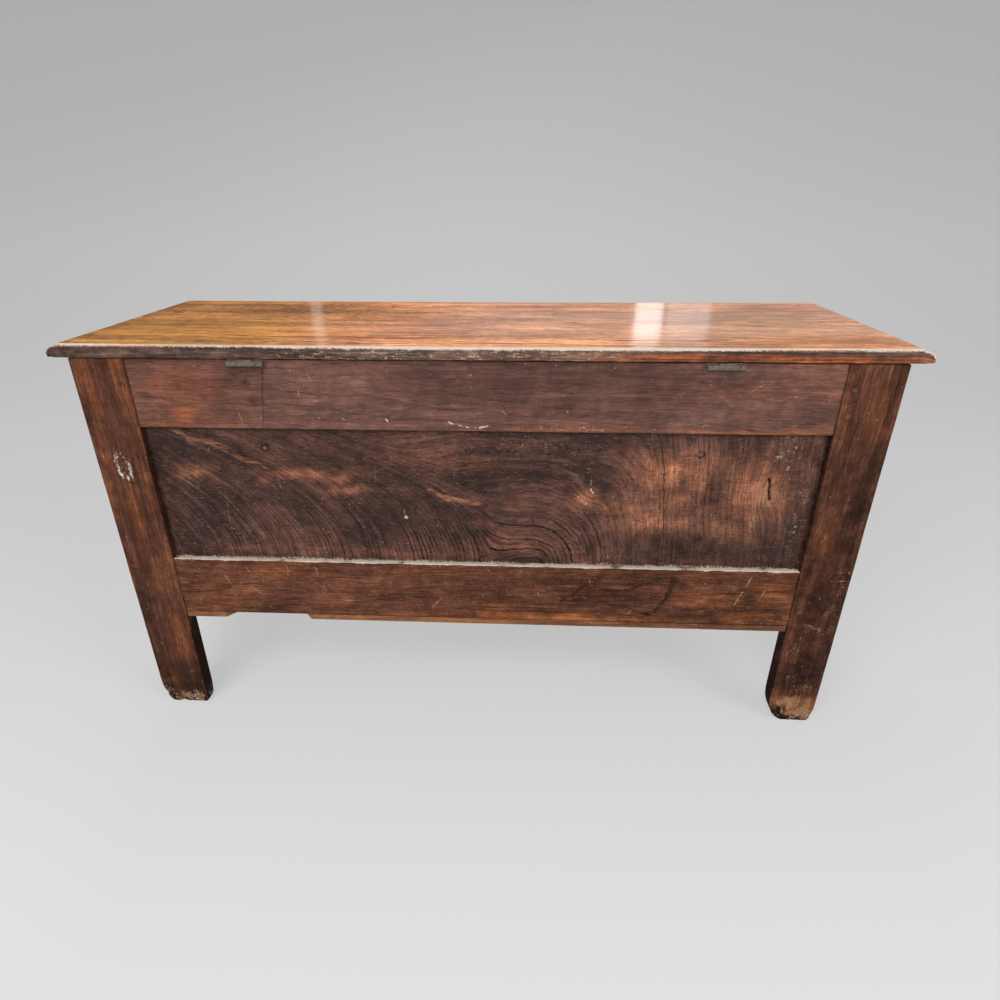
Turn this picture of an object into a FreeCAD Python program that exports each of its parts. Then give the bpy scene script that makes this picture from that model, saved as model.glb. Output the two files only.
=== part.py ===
"""Mule chest: a joined oak chest with a hinged plank lid, a box, and two drawers in its base.

Left, right, front and back are as seen by someone who faces the drawers.
X runs right, Y runs back, Z runs up from the floor. Lengths are in millimetres.
"""
import FreeCAD, Part
import math
import os
from types import SimpleNamespace

import Sketcher

SIZES = {
    # frame
    "body_width": 1300,
    "body_depth": 488,
    "stile_width": 90,
    "stile_thickness": 32,
    "rail_thickness": 28,
    "leg_clearance": 219,
    "panel_opening_height": 242,
    "top_rail_height": 110,
    "bottom_rail_height": 112,
    "front_top_rail_height": 90,
    "middle_rail_height": 46,
    "front_rail_drop": 14,
    "muntin_width": 72,
    "divider_width": 50,
    # feet worn round at their corners
    "foot_wear_slight": 7,
    "foot_wear_outer": 20,
    "foot_wear_inner": 42,
    # frame joints
    "panel_recess": 12,
    "groove_width": 8,
    "groove_depth": 12,
    "tenon_length": 45,
    "side_tenon_length": 21,
    "muntin_tenon_length": 24,
    "divider_tenon_length": 14,
    "tenon_shoulder": 12,
    "top_shoulder": 20,
    "tenon_play": 0.15,
    "mortise_slack": 1,
    "peg_diameter": 8,
    "peg_play": 0.05,
    "peg_inset": 15,
    "peg_margin": 19,
    "peg_projection": 1,
    "side_peg_length": 38,
    # panels
    "panel_play": 0.2,
    "panel_slack": 2,
    "field_bevel": 30,
    "field_gap": 1.5,
    "inner_field_rise": 5,
    "front_field_rise": 7,
    # box floor
    "ledger_height": 18,
    "ledger_depth": 20,
    "floor_thickness": 12,
    "floor_groove_depth": 7,
    "floor_play": 0.2,
    "floor_side_gap": 3,
    # boards under the drawers
    "bottom_board_thickness": 11,
    "bottom_board_width": 236,
    "bottom_board_inset": 1,
    "bottom_board_end_inset": 4,
    "bottom_board_play": 0.3,
    "bottom_rabbet_depth": 14,
    "board_joint_from_leg": 158,
    "scallop_from_leg": 76,
    "scallop_length": 164,
    "scallop_depth": 24,
    "scallop_slope": 18,
    # drawers and their runners
    "drawer_opening_height": 120,
    "runner_height": 45,
    "runner_ledge": 28,
    "centre_runner_width": 100,
    "guide_height": 24,
    "guide_width": 20,
    "drawer_gap": 1.5,
    "drawer_rise": 0.3,
    "drawer_inset": 0.5,
    "drawer_back_gap": 3,
    "drawer_front_thickness": 22,
    "drawer_side_thickness": 11,
    "drawer_side_drop": 2,
    "drawer_back_thickness": 11,
    "drawer_back_drop": 14,
    "drawer_back_set": 8,
    "drawer_bottom_thickness": 7,
    "drawer_bottom_rise": 8,
    "drawer_groove_depth": 5,
    "drawer_play": 0.1,
    "dovetail_lap": 7,
    "dovetail_root": 24,
    "dovetail_tip": 32,
    "dovetail_spacing": 54,
    "front_edge_bevel": 3,
    "knob_spacing": 260,
    "knob_spigot": 12,
    "knob_neck": 14,
    "knob_head": 32,
    "knob_thickness": 10,
    "knob_reach": 26,
    # lid
    "lid_thickness": 22,
    "lid_gap": 0.3,
    "lid_end_overhang": 33,
    "lid_front_overhang": 30,
    "lid_back_overhang": 4,
    "lid_rear_board_width": 246,
    "lid_joint_gap": 0.2,
    "lid_corner_round": 40,
    "lid_corner_ease": 4,
    "moulding_width": 18,
    "moulding_step": 1.5,
    "moulding_drop": 12,
    "nose_round": 5,
    "back_arris_round": 3,
    "batten_width": 45,
    "batten_thickness": 22,
    "batten_side_gap": 7,
    "batten_end_gap": 14,
    "batten_end_slope": 16,
    # hinges
    "hinge_right_inset": 286.5,
    "hinge_left_inset": 272.5,
    "hinge_length": 57,
    "hinge_gap": 0.5,
    "hinge_drop": 6.2,
    "barrel_diameter": 8.8,
    "middle_knuckle_length": 24,
    "knuckle_gap": 0.3,
    "pin_diameter": 4.4,
    "pin_play": 0.06,
    "leaf_thickness": 2.2,
    "leaf_gap": 0.2,
    "leaf_reach": 22,
    "leaf_play": 0.2,
    "leaf_clearance": 0.4,
    "screw_diameter": 3.8,
    "screw_head": 6.8,
    "screw_head_depth": 1.5,
    "screw_length": 14,
    "screw_play": 0.1,
    "screw_spread": 19,
}

doc = FreeCAD.newDocument("mule_chest")
sheet = doc.addObject("Spreadsheet::Sheet", "Sizes")
for row, (name, number) in enumerate(SIZES.items(), start=1):
    sheet.set(f"A{row}", name)
    sheet.set(f"B{row}", str(number))
    sheet.setAlias(f"B{row}", name)
doc.recompute()


class Size:
    """A length that carries its spreadsheet formula along with its number."""

    def __init__(self, formula, number):
        self.formula = formula
        self.number = number

    def __add__(self, other):
        other = as_size(other)
        return Size(f"({self.formula} + {other.formula})", self.number + other.number)

    def __sub__(self, other):
        other = as_size(other)
        return Size(f"({self.formula} - {other.formula})", self.number - other.number)

    def __mul__(self, factor):
        return Size(f"({self.formula} * ({factor}))", self.number * factor)

    def __truediv__(self, divisor):
        return Size(f"({self.formula} / {divisor})", self.number / divisor)

    def __neg__(self):
        return self * -1


def as_size(value):
    if isinstance(value, Size):
        return value
    return Size(str(value), value)


d = SimpleNamespace(**{name: Size("Sizes." + name, number) for name, number in SIZES.items()})

# levels and faces that several pieces share
OVER = 1
stile_height = d.leg_clearance + d.bottom_rail_height + d.panel_opening_height + d.top_rail_height
half_width = d.body_width / 2
inner_half = half_width - d.stile_width
rail_length = inner_half * 2
side_rail_length = d.body_depth - d.stile_thickness * 2
hinge_reach = d.hinge_gap + d.barrel_diameter
front_face = (d.lid_front_overhang - d.body_depth - hinge_reach) / 2
back_face = front_face + d.body_depth
middle_y = front_face + d.body_depth / 2
inner_front = front_face + d.stile_thickness
inner_back = back_face - d.stile_thickness
rail_front = front_face + d.rail_thickness
rail_side = half_width - d.rail_thickness
tenon_back = d.panel_recess + d.groove_width
opening_bottom = d.leg_clearance + d.bottom_rail_height
opening_top = stile_height - d.top_rail_height
drawer_floor = d.leg_clearance + d.runner_height
drawer_ceiling = drawer_floor + d.drawer_opening_height
front_opening_bottom = drawer_ceiling + d.middle_rail_height
front_opening_top = stile_height - d.front_top_rail_height
front_opening_height = front_opening_top - front_opening_bottom
front_panel_width = (rail_length - d.muntin_width * 2) / 3
muntin_x = (front_panel_width + d.muntin_width) / 2
box_floor = drawer_ceiling + d.ledger_height
lid_bottom = stile_height + d.lid_gap
lid_half = half_width + d.lid_end_overhang
barrel_radius = d.barrel_diameter / 2
hinge_y = back_face + d.hinge_gap + barrel_radius
hinge_z = lid_bottom - d.hinge_drop
hinges = {"left": d.hinge_left_inset - half_width, "right": half_width - d.hinge_right_inset}

# heights between which each tenon stands
low_tenon = (d.leg_clearance + d.tenon_shoulder, opening_bottom - d.groove_depth)
top_tenon = (opening_top + d.groove_depth, stile_height - d.top_shoulder)
front_low_tenon = (d.leg_clearance, drawer_floor - d.tenon_shoulder)
front_middle_tenon = (drawer_ceiling + d.tenon_shoulder, front_opening_bottom - d.groove_depth)
front_top_tenon = (front_opening_top + d.groove_depth, stile_height - d.top_shoulder)


def two_pegs(tenon):
    return [tenon[0] + d.peg_margin, tenon[1] - d.peg_margin]


def one_peg(tenon):
    return [(tenon[0] + tenon[1]) / 2]


def bind(thing, path, size):
    thing.setExpression(path, as_size(size).formula)


def place(thing, x, y, z, turn=0, axis=(0, 0, 1)):
    spot = FreeCAD.Vector(*[as_size(size).number for size in (x, y, z)])
    thing.Placement = FreeCAD.Placement(spot, FreeCAD.Rotation(FreeCAD.Vector(*axis), turn))
    for letter, size in zip("xyz", (x, y, z)):
        bind(thing, f"Placement.Base.{letter}", size)
    return thing


def box(left, low, right, high):
    return [(left, low), (right, low), (right, high), (left, high)]


def ring(x, y, diameter):
    return SimpleNamespace(x=x, y=y, diameter=diameter)


def octagon(x, y, diameter):
    """Eight corners on a circle, with flats across both axes."""
    corners = []
    for n in range(8):
        angle = math.radians(22.5 + 45 * n)
        right, up = round(math.cos(angle) / 2, 6), round(math.sin(angle) / 2, 6)
        corners.append((diameter * right + x, diameter * up + y))
    return corners


def fix_point(sketch, geometry, point, x, y=None):
    for kind, size, axis in (("DistanceX", x, -2), ("DistanceY", y, -1)):
        if size is None:
            continue
        size = as_size(size)
        if size.formula == "0":
            sketch.addConstraint(Sketcher.Constraint("PointOnObject", geometry, point, axis))
            continue
        index = sketch.addConstraint(Sketcher.Constraint(kind, -1, 1, geometry, point, size.number))
        bind(sketch, f"Constraints[{index}]", size)


def draw_ring(sketch, loop):
    centre = FreeCAD.Vector(as_size(loop.x).number, as_size(loop.y).number, 0)
    radius = as_size(loop.diameter).number / 2
    circle = sketch.addGeometry(Part.Circle(centre, FreeCAD.Vector(0, 0, 1), radius))
    fix_point(sketch, circle, 3, loop.x, loop.y)
    index = sketch.addConstraint(Sketcher.Constraint("Diameter", circle, radius * 2))
    bind(sketch, f"Constraints[{index}]", loop.diameter)


def draw_arc(sketch, start, end, centre_x):
    """An arc about a centre on the line x = centre_x. Returns it with its first and last point."""
    x = as_size(centre_x).number
    near = (start.x - x) ** 2 + start.y ** 2
    far = (end.x - x) ** 2 + end.y ** 2
    y = (near - far) / (2 * (start.y - end.y))
    first = math.atan2(start.y - y, start.x - x)
    last = math.atan2(end.y - y, end.x - x)
    forward = (last - first) % (2 * math.pi) < math.pi
    if not forward:
        first, last = last, first
    radius = math.hypot(start.x - x, start.y - y)
    circle = Part.Circle(FreeCAD.Vector(x, y, 0), FreeCAD.Vector(0, 0, 1), radius)
    arc = sketch.addGeometry(Part.ArcOfCircle(circle, first, last))
    return (arc, 1, 2) if forward else (arc, 2, 1)


def draw_loop(sketch, loop):
    """A closed outline. A corner with a third value starts an arc centred on that x."""
    points = [FreeCAD.Vector(as_size(corner[0]).number, as_size(corner[1]).number, 0) for corner in loop]
    parts = []
    for corner, start, end in zip(loop, points, points[1:] + points[:1]):
        if len(corner) == 3:
            parts.append(draw_arc(sketch, start, end, corner[2]))
        else:
            parts.append((sketch.addGeometry(Part.LineSegment(start, end)), 1, 2))
    for this, following in zip(parts, parts[1:] + parts[:1]):
        sketch.addConstraint(Sketcher.Constraint("Coincident", this[0], this[2], following[0], following[1]))
    for corner, part in zip(loop, parts):
        fix_point(sketch, part[0], part[1], corner[0], corner[1])
        if len(corner) == 3:
            fix_point(sketch, part[0], 3, corner[2])


def draw(body, plane, level, loops):
    sketch = body.newObject("Sketcher::SketchObject", "outline")
    support = [item for item in body.Origin.OriginFeatures if item.Role == plane][0]
    sketch.AttachmentSupport = [(support, "")]
    sketch.MapMode = "FlatFace"
    level = as_size(level)
    bind(sketch, "AttachmentOffset.Base.z", -level if plane == "XZ_Plane" else level)
    for loop in loops:
        if isinstance(loop, list):
            draw_loop(sketch, loop)
        else:
            draw_ring(sketch, loop)
    return sketch


def add(body, plane, low, high, *loops):
    """Pad the loops from low to high along the axis across the plane."""
    low, high = as_size(low), as_size(high)
    feature = body.newObject("PartDesign::Pad", "pad")
    feature.Profile = draw(body, plane, high if plane == "XZ_Plane" else low, loops)
    bind(feature, "Length", high - low)
    body.Tip = feature


def cut(body, plane, low, high, *loops):
    """Pocket the loops from low to high along the axis across the plane."""
    low, high = as_size(low), as_size(high)
    feature = body.newObject("PartDesign::Pocket", "pocket")
    feature.Profile = draw(body, plane, low if plane == "XZ_Plane" else high, loops)
    bind(feature, "Length", high - low)
    body.Tip = feature


def turn(body, plane, loop):
    """Revolve the loop about the upright axis of its sketch."""
    feature = body.newObject("PartDesign::Revolution", "turning")
    sketch = draw(body, plane, 0, [loop])
    feature.Profile = sketch
    feature.ReferenceAxis = (sketch, ["V_Axis"])
    feature.Angle = 360
    body.Tip = feature


def dress(body, kind, size, wanted):
    """Fillet or chamfer the edges for which wanted is true."""
    doc.recompute()
    base = body.Tip
    names = [f"Edge{n}" for n, edge in enumerate(base.Shape.Edges, start=1) if wanted(edge)]
    feature = body.newObject("PartDesign::" + kind, kind.lower())
    feature.Base = (base, names)
    bind(feature, "Radius" if kind == "Fillet" else "Size", size)
    body.Tip = feature


def lies_at(edge, **levels):
    """True when the edge stays at the given coordinates along its whole length."""
    limits = edge.BoundBox
    for letter, size in levels.items():
        number = as_size(size).number
        for end in (getattr(limits, letter + "Min"), getattr(limits, letter + "Max")):
            if abs(end - number) > 0.01:
                return False
    return True


def new_body(label):
    body = doc.addObject("PartDesign::Body", label)
    body.Label = label
    return body


def plank(label, length, width, height):
    board = doc.addObject("Part::Box", label)
    board.Label = label
    for name, size in (("Length", length), ("Width", width), ("Height", height)):
        bind(board, name, size)
    return board


def group(label, members):
    compound = doc.addObject("Part::Compound", label)
    compound.Label = label
    compound.Links = members
    return compound


def mirror(label, source):
    """The left-hand twin of a right-hand piece."""
    twin = doc.addObject("Part::Mirroring", label)
    twin.Label = label
    twin.Source = source
    twin.Normal = FreeCAD.Vector(1, 0, 0)
    return twin


def across(hand, low, high):
    """A span along X, turned round for a left-hand piece."""
    low, high = as_size(low), as_size(high)
    return (low, high) if hand > 0 else (-high, -low)


def stile(label, hand, tenons, pegs, groove, wear_in, wear_out):
    """Corner stile. Locally X runs out from its inner edge times hand, Y in from its face."""
    body = new_body(label)
    left, right = across(hand, 0, d.stile_width)
    add(body, "XZ_Plane", 0, d.stile_thickness, box(left, 0, right, stile_height))
    dress(body, "Fillet", wear_in, lambda edge: lies_at(edge, X=0, Z=0))
    dress(body, "Fillet", wear_out, lambda edge: lies_at(edge, X=d.stile_width * hand, Z=0))
    play = d.tenon_play
    sunk = across(hand, -OVER, d.tenon_length + d.mortise_slack)
    cut(body, "YZ_Plane", *sunk, *[box(d.panel_recess - play, low - play, tenon_back + play, high + play)
                                   for low, high in tenons])
    cut(body, "YZ_Plane", *across(hand, -OVER, d.groove_depth),
        box(d.panel_recess, groove[0], tenon_back, groove[1]))
    left, right = across(hand, d.stile_width - tenon_back, d.stile_width - d.panel_recess)
    cut(body, "XZ_Plane", d.stile_thickness - d.side_tenon_length - d.mortise_slack, d.stile_thickness + OVER,
        *[box(left - play, low - play, right + play, high + play) for low, high in (low_tenon, top_tenon)])
    cut(body, "XZ_Plane", d.stile_thickness - d.groove_depth, d.stile_thickness + OVER,
        box(left, opening_bottom - d.groove_depth, right, opening_top + d.groove_depth))
    hole = d.peg_diameter + d.peg_play * 2
    cut(body, "XZ_Plane", -OVER, d.stile_thickness + OVER,
        *[octagon(d.peg_inset * hand, z, hole) for z in pegs])
    cut(body, "YZ_Plane", *across(hand, d.stile_width - d.side_peg_length, d.stile_width + OVER),
        *[octagon(d.stile_thickness - d.side_tenon_length / 2, z, hole)
          for z in two_pegs(low_tenon) + two_pegs(top_tenon)])
    return body


def rail(label, length, height, tenon, low, high, grooves=(), pegs=(), peg_inset=d.peg_inset):
    """Rail with a tenon at each end. Locally X runs along it, Y in from its face, Z up from its edge."""
    body = new_body(label)
    end = length / 2
    add(body, "YZ_Plane", -end, end, box(0, 0, d.rail_thickness, height))
    add(body, "YZ_Plane", -end - tenon, end + tenon, box(d.panel_recess, low, tenon_back, high))
    edges = {"low": (as_size(-OVER), d.groove_depth), "high": (height - d.groove_depth, height + OVER)}
    if grooves:
        cut(body, "YZ_Plane", -end, end,
            *[box(d.panel_recess, edges[edge][0], tenon_back, edges[edge][1]) for edge in grooves])
    if pegs:
        hole = d.peg_diameter + d.peg_play * 2
        cut(body, "XZ_Plane", 0, d.rail_thickness,
            *[octagon((end + peg_inset) * side, z, hole) for side in (-1, 1) for z in pegs])
    return body


def panel(label, width, height, rise):
    """Panel with a flat face at Y = 0 and a bevelled field on the other, centred in its opening."""
    body = new_body(label)
    grip = d.groove_depth - d.panel_slack
    thickness = d.groove_width - d.panel_play * 2
    half, tall = width / 2, height / 2
    add(body, "XZ_Plane", 0, thickness, box(-half - grip, -tall - grip, half + grip, tall + grip))
    foot = d.field_gap
    add(body, "XZ_Plane", thickness, thickness + rise,
        box(foot - half, foot - tall, half - foot, tall - foot))

    def bevel(edge, hand):
        """The wedge planed off along one edge, as (distance from the middle, height)."""
        start, end, past = [(edge - inset) * hand for inset in (foot, d.field_bevel, as_size(-OVER))]
        high = thickness + rise + OVER
        return [(start, thickness), (end, thickness + rise), (end, high), (past, high), (past, thickness)]

    cut(body, "XY_Plane", -tall, tall, bevel(half, 1), bevel(half, -1))
    upright = [[(y, z) for z, y in bevel(tall, hand)] for hand in (1, -1)]
    cut(body, "YZ_Plane", -half, half, *upright)
    return body


# stiles
front_tenons = (front_low_tenon, front_middle_tenon, front_top_tenon)
front_pegs = one_peg(front_low_tenon) + one_peg(front_middle_tenon) + two_pegs(front_top_tenon)
rear_tenons = (low_tenon, top_tenon)
rear_pegs = two_pegs(low_tenon) + two_pegs(top_tenon)
front_groove = (front_opening_bottom - d.groove_depth, front_opening_top + d.groove_depth)
rear_groove = (opening_bottom - d.groove_depth, opening_top + d.groove_depth)
slight = d.foot_wear_slight
place(stile("front_stile_left", -1, front_tenons, front_pegs, front_groove, slight, slight),
      -inner_half, front_face, 0)
place(stile("front_stile_right", 1, front_tenons, front_pegs, front_groove, slight, slight),
      inner_half, front_face, 0)
place(stile("rear_stile_left", 1, rear_tenons, rear_pegs, rear_groove, d.foot_wear_inner, slight),
      -inner_half, back_face, 0, 180)
place(stile("rear_stile_right", -1, rear_tenons, rear_pegs, rear_groove, slight, d.foot_wear_outer),
      inner_half, back_face, 0, 180)

# rear frame
leaf_half = d.hinge_length / 2
recess_depth = d.leaf_thickness * 2 + d.leaf_gap - d.lid_gap
hinge_to_face = d.hinge_gap + barrel_radius
screw_spots = [(-d.screw_spread, d.leaf_reach * 0.4), (as_size(0), d.leaf_reach * 0.72),
               (d.screw_spread, d.leaf_reach * 0.4)]
pilot = d.screw_diameter + d.screw_play
pilot_depth = d.screw_length - d.leaf_thickness + d.screw_play

top_rail_pegs = [z - opening_top for z in two_pegs(top_tenon)]
bottom_rail_pegs = [z - d.leg_clearance for z in two_pegs(low_tenon)]
top_rail_high = d.top_rail_height - d.top_shoulder
bottom_rail_high = d.bottom_rail_height - d.groove_depth

rear_top_rail = rail("rear_top_rail", rail_length, d.top_rail_height, d.tenon_length, d.groove_depth,
                     top_rail_high, ["low"], top_rail_pegs)
seat = d.top_rail_height - recess_depth
cut(rear_top_rail, "XY_Plane", seat, d.top_rail_height + OVER,
    *[box(-x - leaf_half - d.leaf_play, -OVER, -x + leaf_half + d.leaf_play, d.leaf_reach + d.leaf_play)
      for x in hinges.values()])
cut(rear_top_rail, "XY_Plane", seat - pilot_depth, seat + OVER,
    *[octagon(along - x, inward, pilot) for x in hinges.values() for along, inward in screw_spots])
place(rear_top_rail, 0, back_face, opening_top, 180)

place(rail("rear_bottom_rail", rail_length, d.bottom_rail_height, d.tenon_length, d.tenon_shoulder,
           bottom_rail_high, ["high"], bottom_rail_pegs),
      0, back_face, d.leg_clearance, 180)
opening_middle = opening_bottom + d.panel_opening_height / 2
place(panel("rear_panel", rail_length, d.panel_opening_height, d.inner_field_rise),
      0, back_face - d.panel_recess - d.panel_play, opening_middle, 180)

# side frames
side_peg_inset = d.side_tenon_length / 2
side_top = rail("side_top_rail_right", side_rail_length, d.top_rail_height, d.side_tenon_length,
                d.groove_depth, top_rail_high, ["low"], top_rail_pegs, side_peg_inset)
place(side_top, half_width, middle_y, opening_top, 90)
side_bottom = rail("side_bottom_rail_right", side_rail_length, d.bottom_rail_height, d.side_tenon_length,
                   d.tenon_shoulder, bottom_rail_high, ["high"], bottom_rail_pegs, side_peg_inset)
place(side_bottom, half_width, middle_y, d.leg_clearance, 90)
side_panel = panel("side_panel_right", side_rail_length, d.panel_opening_height, d.inner_field_rise)
place(side_panel, half_width - d.panel_recess - d.panel_play, middle_y, opening_middle, 90)
mirror("side_top_rail_left", side_top)
mirror("side_bottom_rail_left", side_bottom)
mirror("side_panel_left", side_panel)

# front frame
muntin_low = d.tenon_shoulder
muntin_high = d.muntin_width - d.tenon_shoulder
divider_low = d.tenon_shoulder
divider_high = d.divider_width - d.tenon_shoulder
play = d.tenon_play
muntin_half = d.muntin_width / 2 - d.tenon_shoulder + play
divider_half = d.divider_width / 2 - d.tenon_shoulder + play
mortise_front = d.panel_recess - play
mortise_back = tenon_back + play
muntin_peg_inset = d.muntin_tenon_length / 2
peg_hole = d.peg_diameter + d.peg_play * 2

top_rail = rail("front_top_rail", rail_length, d.front_top_rail_height, d.tenon_length, d.groove_depth,
                d.front_top_rail_height - d.top_shoulder, ["low"],
                [z - front_opening_top for z in two_pegs(front_top_tenon)])
cut(top_rail, "XY_Plane", -OVER, d.muntin_tenon_length + d.mortise_slack,
    *[box(muntin_x * side - muntin_half, mortise_front, muntin_x * side + muntin_half, mortise_back)
      for side in (-1, 1)])
cut(top_rail, "XZ_Plane", 0, d.rail_thickness,
    *[octagon(muntin_x * side, muntin_peg_inset, peg_hole) for side in (-1, 1)])
place(top_rail, 0, front_face, front_opening_top)

middle_rail = rail("front_middle_rail", rail_length, d.middle_rail_height, d.tenon_length, d.tenon_shoulder,
                   d.middle_rail_height - d.groove_depth, ["high"],
                   [z - drawer_ceiling for z in one_peg(front_middle_tenon)])
cut(middle_rail, "XY_Plane", d.middle_rail_height - d.muntin_tenon_length - d.mortise_slack,
    d.middle_rail_height + OVER,
    *[box(muntin_x * side - muntin_half, mortise_front, muntin_x * side + muntin_half, mortise_back)
      for side in (-1, 1)])
cut(middle_rail, "XZ_Plane", 0, d.rail_thickness,
    *[octagon(muntin_x * side, d.middle_rail_height - muntin_peg_inset, peg_hole) for side in (-1, 1)])
cut(middle_rail, "XY_Plane", -OVER, d.divider_tenon_length + d.mortise_slack,
    box(-divider_half, mortise_front, divider_half, mortise_back))
cut(middle_rail, "YZ_Plane", -inner_half, inner_half,
    box(d.rail_thickness - d.floor_groove_depth, d.ledger_height, d.rail_thickness + OVER,
        d.ledger_height + d.floor_thickness + d.floor_play))
place(middle_rail, 0, front_face, drawer_ceiling)

front_bottom_height = d.front_rail_drop + d.runner_height
bottom_rail = rail("front_bottom_rail", rail_length, front_bottom_height, d.tenon_length, d.front_rail_drop,
                   front_bottom_height - d.tenon_shoulder, [],
                   [z - d.leg_clearance + d.front_rail_drop for z in one_peg(front_low_tenon)])
cut(bottom_rail, "XY_Plane", front_bottom_height - d.divider_tenon_length - d.mortise_slack,
    front_bottom_height + OVER, box(-divider_half, mortise_front, divider_half, mortise_back))
cut(bottom_rail, "YZ_Plane", -inner_half, inner_half,
    box(d.bottom_rabbet_depth, -OVER, d.rail_thickness + OVER, d.front_rail_drop))
place(bottom_rail, 0, front_face, d.leg_clearance - d.front_rail_drop)

muntin = rail("front_muntin_right", front_opening_height, d.muntin_width, d.muntin_tenon_length, muntin_low,
              muntin_high, ["low", "high"], [d.muntin_width / 2], muntin_peg_inset)
place(muntin, muntin_x + d.muntin_width / 2, front_face, front_opening_bottom + front_opening_height / 2,
      -90, (0, 1, 0))
mirror("front_muntin_left", muntin)
divider = rail("drawer_divider", d.drawer_opening_height, d.divider_width, d.divider_tenon_length,
               divider_low, divider_high)
place(divider, d.divider_width / 2, front_face, drawer_floor + d.drawer_opening_height / 2, -90, (0, 1, 0))

panel_seat = front_face + tenon_back - d.panel_play
front_middle = front_opening_bottom + front_opening_height / 2
place(panel("front_panel_centre", front_panel_width, front_opening_height, d.front_field_rise),
      0, panel_seat, front_middle, 180)
front_panel = panel("front_panel_right", front_panel_width, front_opening_height, d.front_field_rise)
place(front_panel, front_panel_width + d.muntin_width, panel_seat, front_middle, 180)
mirror("front_panel_left", front_panel)

# pegs of the frame joints, split and shaved to eight sides
pegs = []


def peg(x, y, z, length, angle, axis):
    body = new_body("peg")
    add(body, "XY_Plane", 0, length, octagon(0, 0, d.peg_diameter))
    pegs.append(place(body, x, y, z, angle, axis))


through = d.stile_thickness + d.peg_projection
side_reach = d.side_peg_length + d.peg_projection - d.mortise_slack
peg_x = inner_half + d.peg_inset
for side in (-1, 1):
    for height in rear_pegs:
        peg(peg_x * side, back_face + d.peg_projection, height, through, 90, (1, 0, 0))
    for height in front_pegs:
        peg(peg_x * side, front_face - d.peg_projection, height, through, -90, (1, 0, 0))
    for height in (front_opening_top + muntin_peg_inset, front_opening_bottom - muntin_peg_inset):
        peg(muntin_x * side, front_face - d.peg_projection, height, d.rail_thickness + d.peg_projection,
            -90, (1, 0, 0))
    for y in (inner_front - side_peg_inset, inner_back + side_peg_inset):
        for height in rear_pegs:
            peg((half_width + d.peg_projection) * side, y, height, side_reach, -90 * side, (0, 1, 0))
group("joint_pegs", pegs)

# box floor
place(plank("floor_ledger_rear", (rail_side - d.floor_side_gap) * 2, d.ledger_depth, d.ledger_height),
      d.floor_side_gap - rail_side, inner_back - d.ledger_depth, drawer_ceiling)
floor_front = rail_front - d.floor_groove_depth + d.floor_play
floor_back = inner_back - d.floor_play
floor_seam = rail_side / 2
inner_board = new_body("floor_board_inner_right")
add(inner_board, "XY_Plane", box_floor, box_floor + d.floor_thickness,
    box(d.floor_play / 2, floor_front, floor_seam - d.floor_play / 2, floor_back))
outer_board = new_body("floor_board_outer_right")
notch_x = inner_half - d.floor_play
notch_y = inner_front + d.floor_play
add(outer_board, "XY_Plane", box_floor, box_floor + d.floor_thickness,
    [(floor_seam + d.floor_play / 2, floor_front), (notch_x, floor_front), (notch_x, notch_y),
     (rail_side, notch_y), (rail_side, floor_back), (floor_seam + d.floor_play / 2, floor_back)])
mirror("floor_board_inner_left", inner_board)
mirror("floor_board_outer_left", outer_board)

# boards under the drawers
board_low = d.leg_clearance - d.bottom_board_thickness
board_back = back_face - d.bottom_board_inset
board_seam = board_back - d.bottom_board_width
board_end = half_width - d.bottom_board_end_inset
leg_x = inner_half - d.bottom_board_play
leg_back = inner_back - d.bottom_board_play
leg_front = inner_front + d.bottom_board_play
board_joint = d.board_joint_from_leg - inner_half
joint_right = board_joint + d.bottom_board_play / 2
joint_left = board_joint - d.bottom_board_play / 2
scallop_right = inner_half - d.scallop_from_leg
scallop_left = scallop_right - d.scallop_length
scallop_y = board_back - d.scallop_depth

rear_long = new_body("bottom_board_rear_long")
add(rear_long, "XY_Plane", board_low, d.leg_clearance,
    [(joint_right, board_seam), (board_end, board_seam), (board_end, leg_back), (leg_x, leg_back),
     (leg_x, board_back), (scallop_right, board_back), (scallop_right - d.scallop_slope, scallop_y),
     (scallop_left + d.scallop_slope, scallop_y), (scallop_left, board_back), (joint_right, board_back)])
rear_short = new_body("bottom_board_rear_short")
add(rear_short, "XY_Plane", board_low, d.leg_clearance,
    [(joint_left, board_seam), (joint_left, board_back), (-leg_x, board_back), (-leg_x, leg_back),
     (-board_end, leg_back), (-board_end, board_seam)])
front_board = new_body("bottom_board_front")
rabbet_y = front_face + d.bottom_rabbet_depth + d.bottom_board_play
front_seam = board_seam - d.bottom_board_play
add(front_board, "XY_Plane", board_low, d.leg_clearance,
    [(-leg_x, rabbet_y), (leg_x, rabbet_y), (leg_x, leg_front), (board_end, leg_front),
     (board_end, front_seam), (-board_end, front_seam), (-board_end, leg_front), (-leg_x, leg_front)])

# drawer runners and guides
runner_width = rail_side - inner_half + d.runner_ledge
runner = plank("drawer_runner_right", runner_width, side_rail_length, d.runner_height)
place(runner, inner_half - d.runner_ledge, inner_front, d.leg_clearance)
mirror("drawer_runner_left", runner)
inner_depth = d.body_depth - d.rail_thickness * 2
place(plank("drawer_runner_centre", d.centre_runner_width, inner_depth, d.runner_height),
      -d.centre_runner_width / 2, rail_front, d.leg_clearance)
group("drawer_guides", [
    place(plank("guide_right", d.guide_width, side_rail_length, d.guide_height),
          inner_half, inner_front, drawer_floor),
    place(plank("guide_left", d.guide_width, side_rail_length, d.guide_height),
          -inner_half - d.guide_width, inner_front, drawer_floor),
    place(plank("guide_centre", d.divider_width, inner_depth, d.guide_height),
          -d.divider_width / 2, rail_front, drawer_floor),
])

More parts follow.
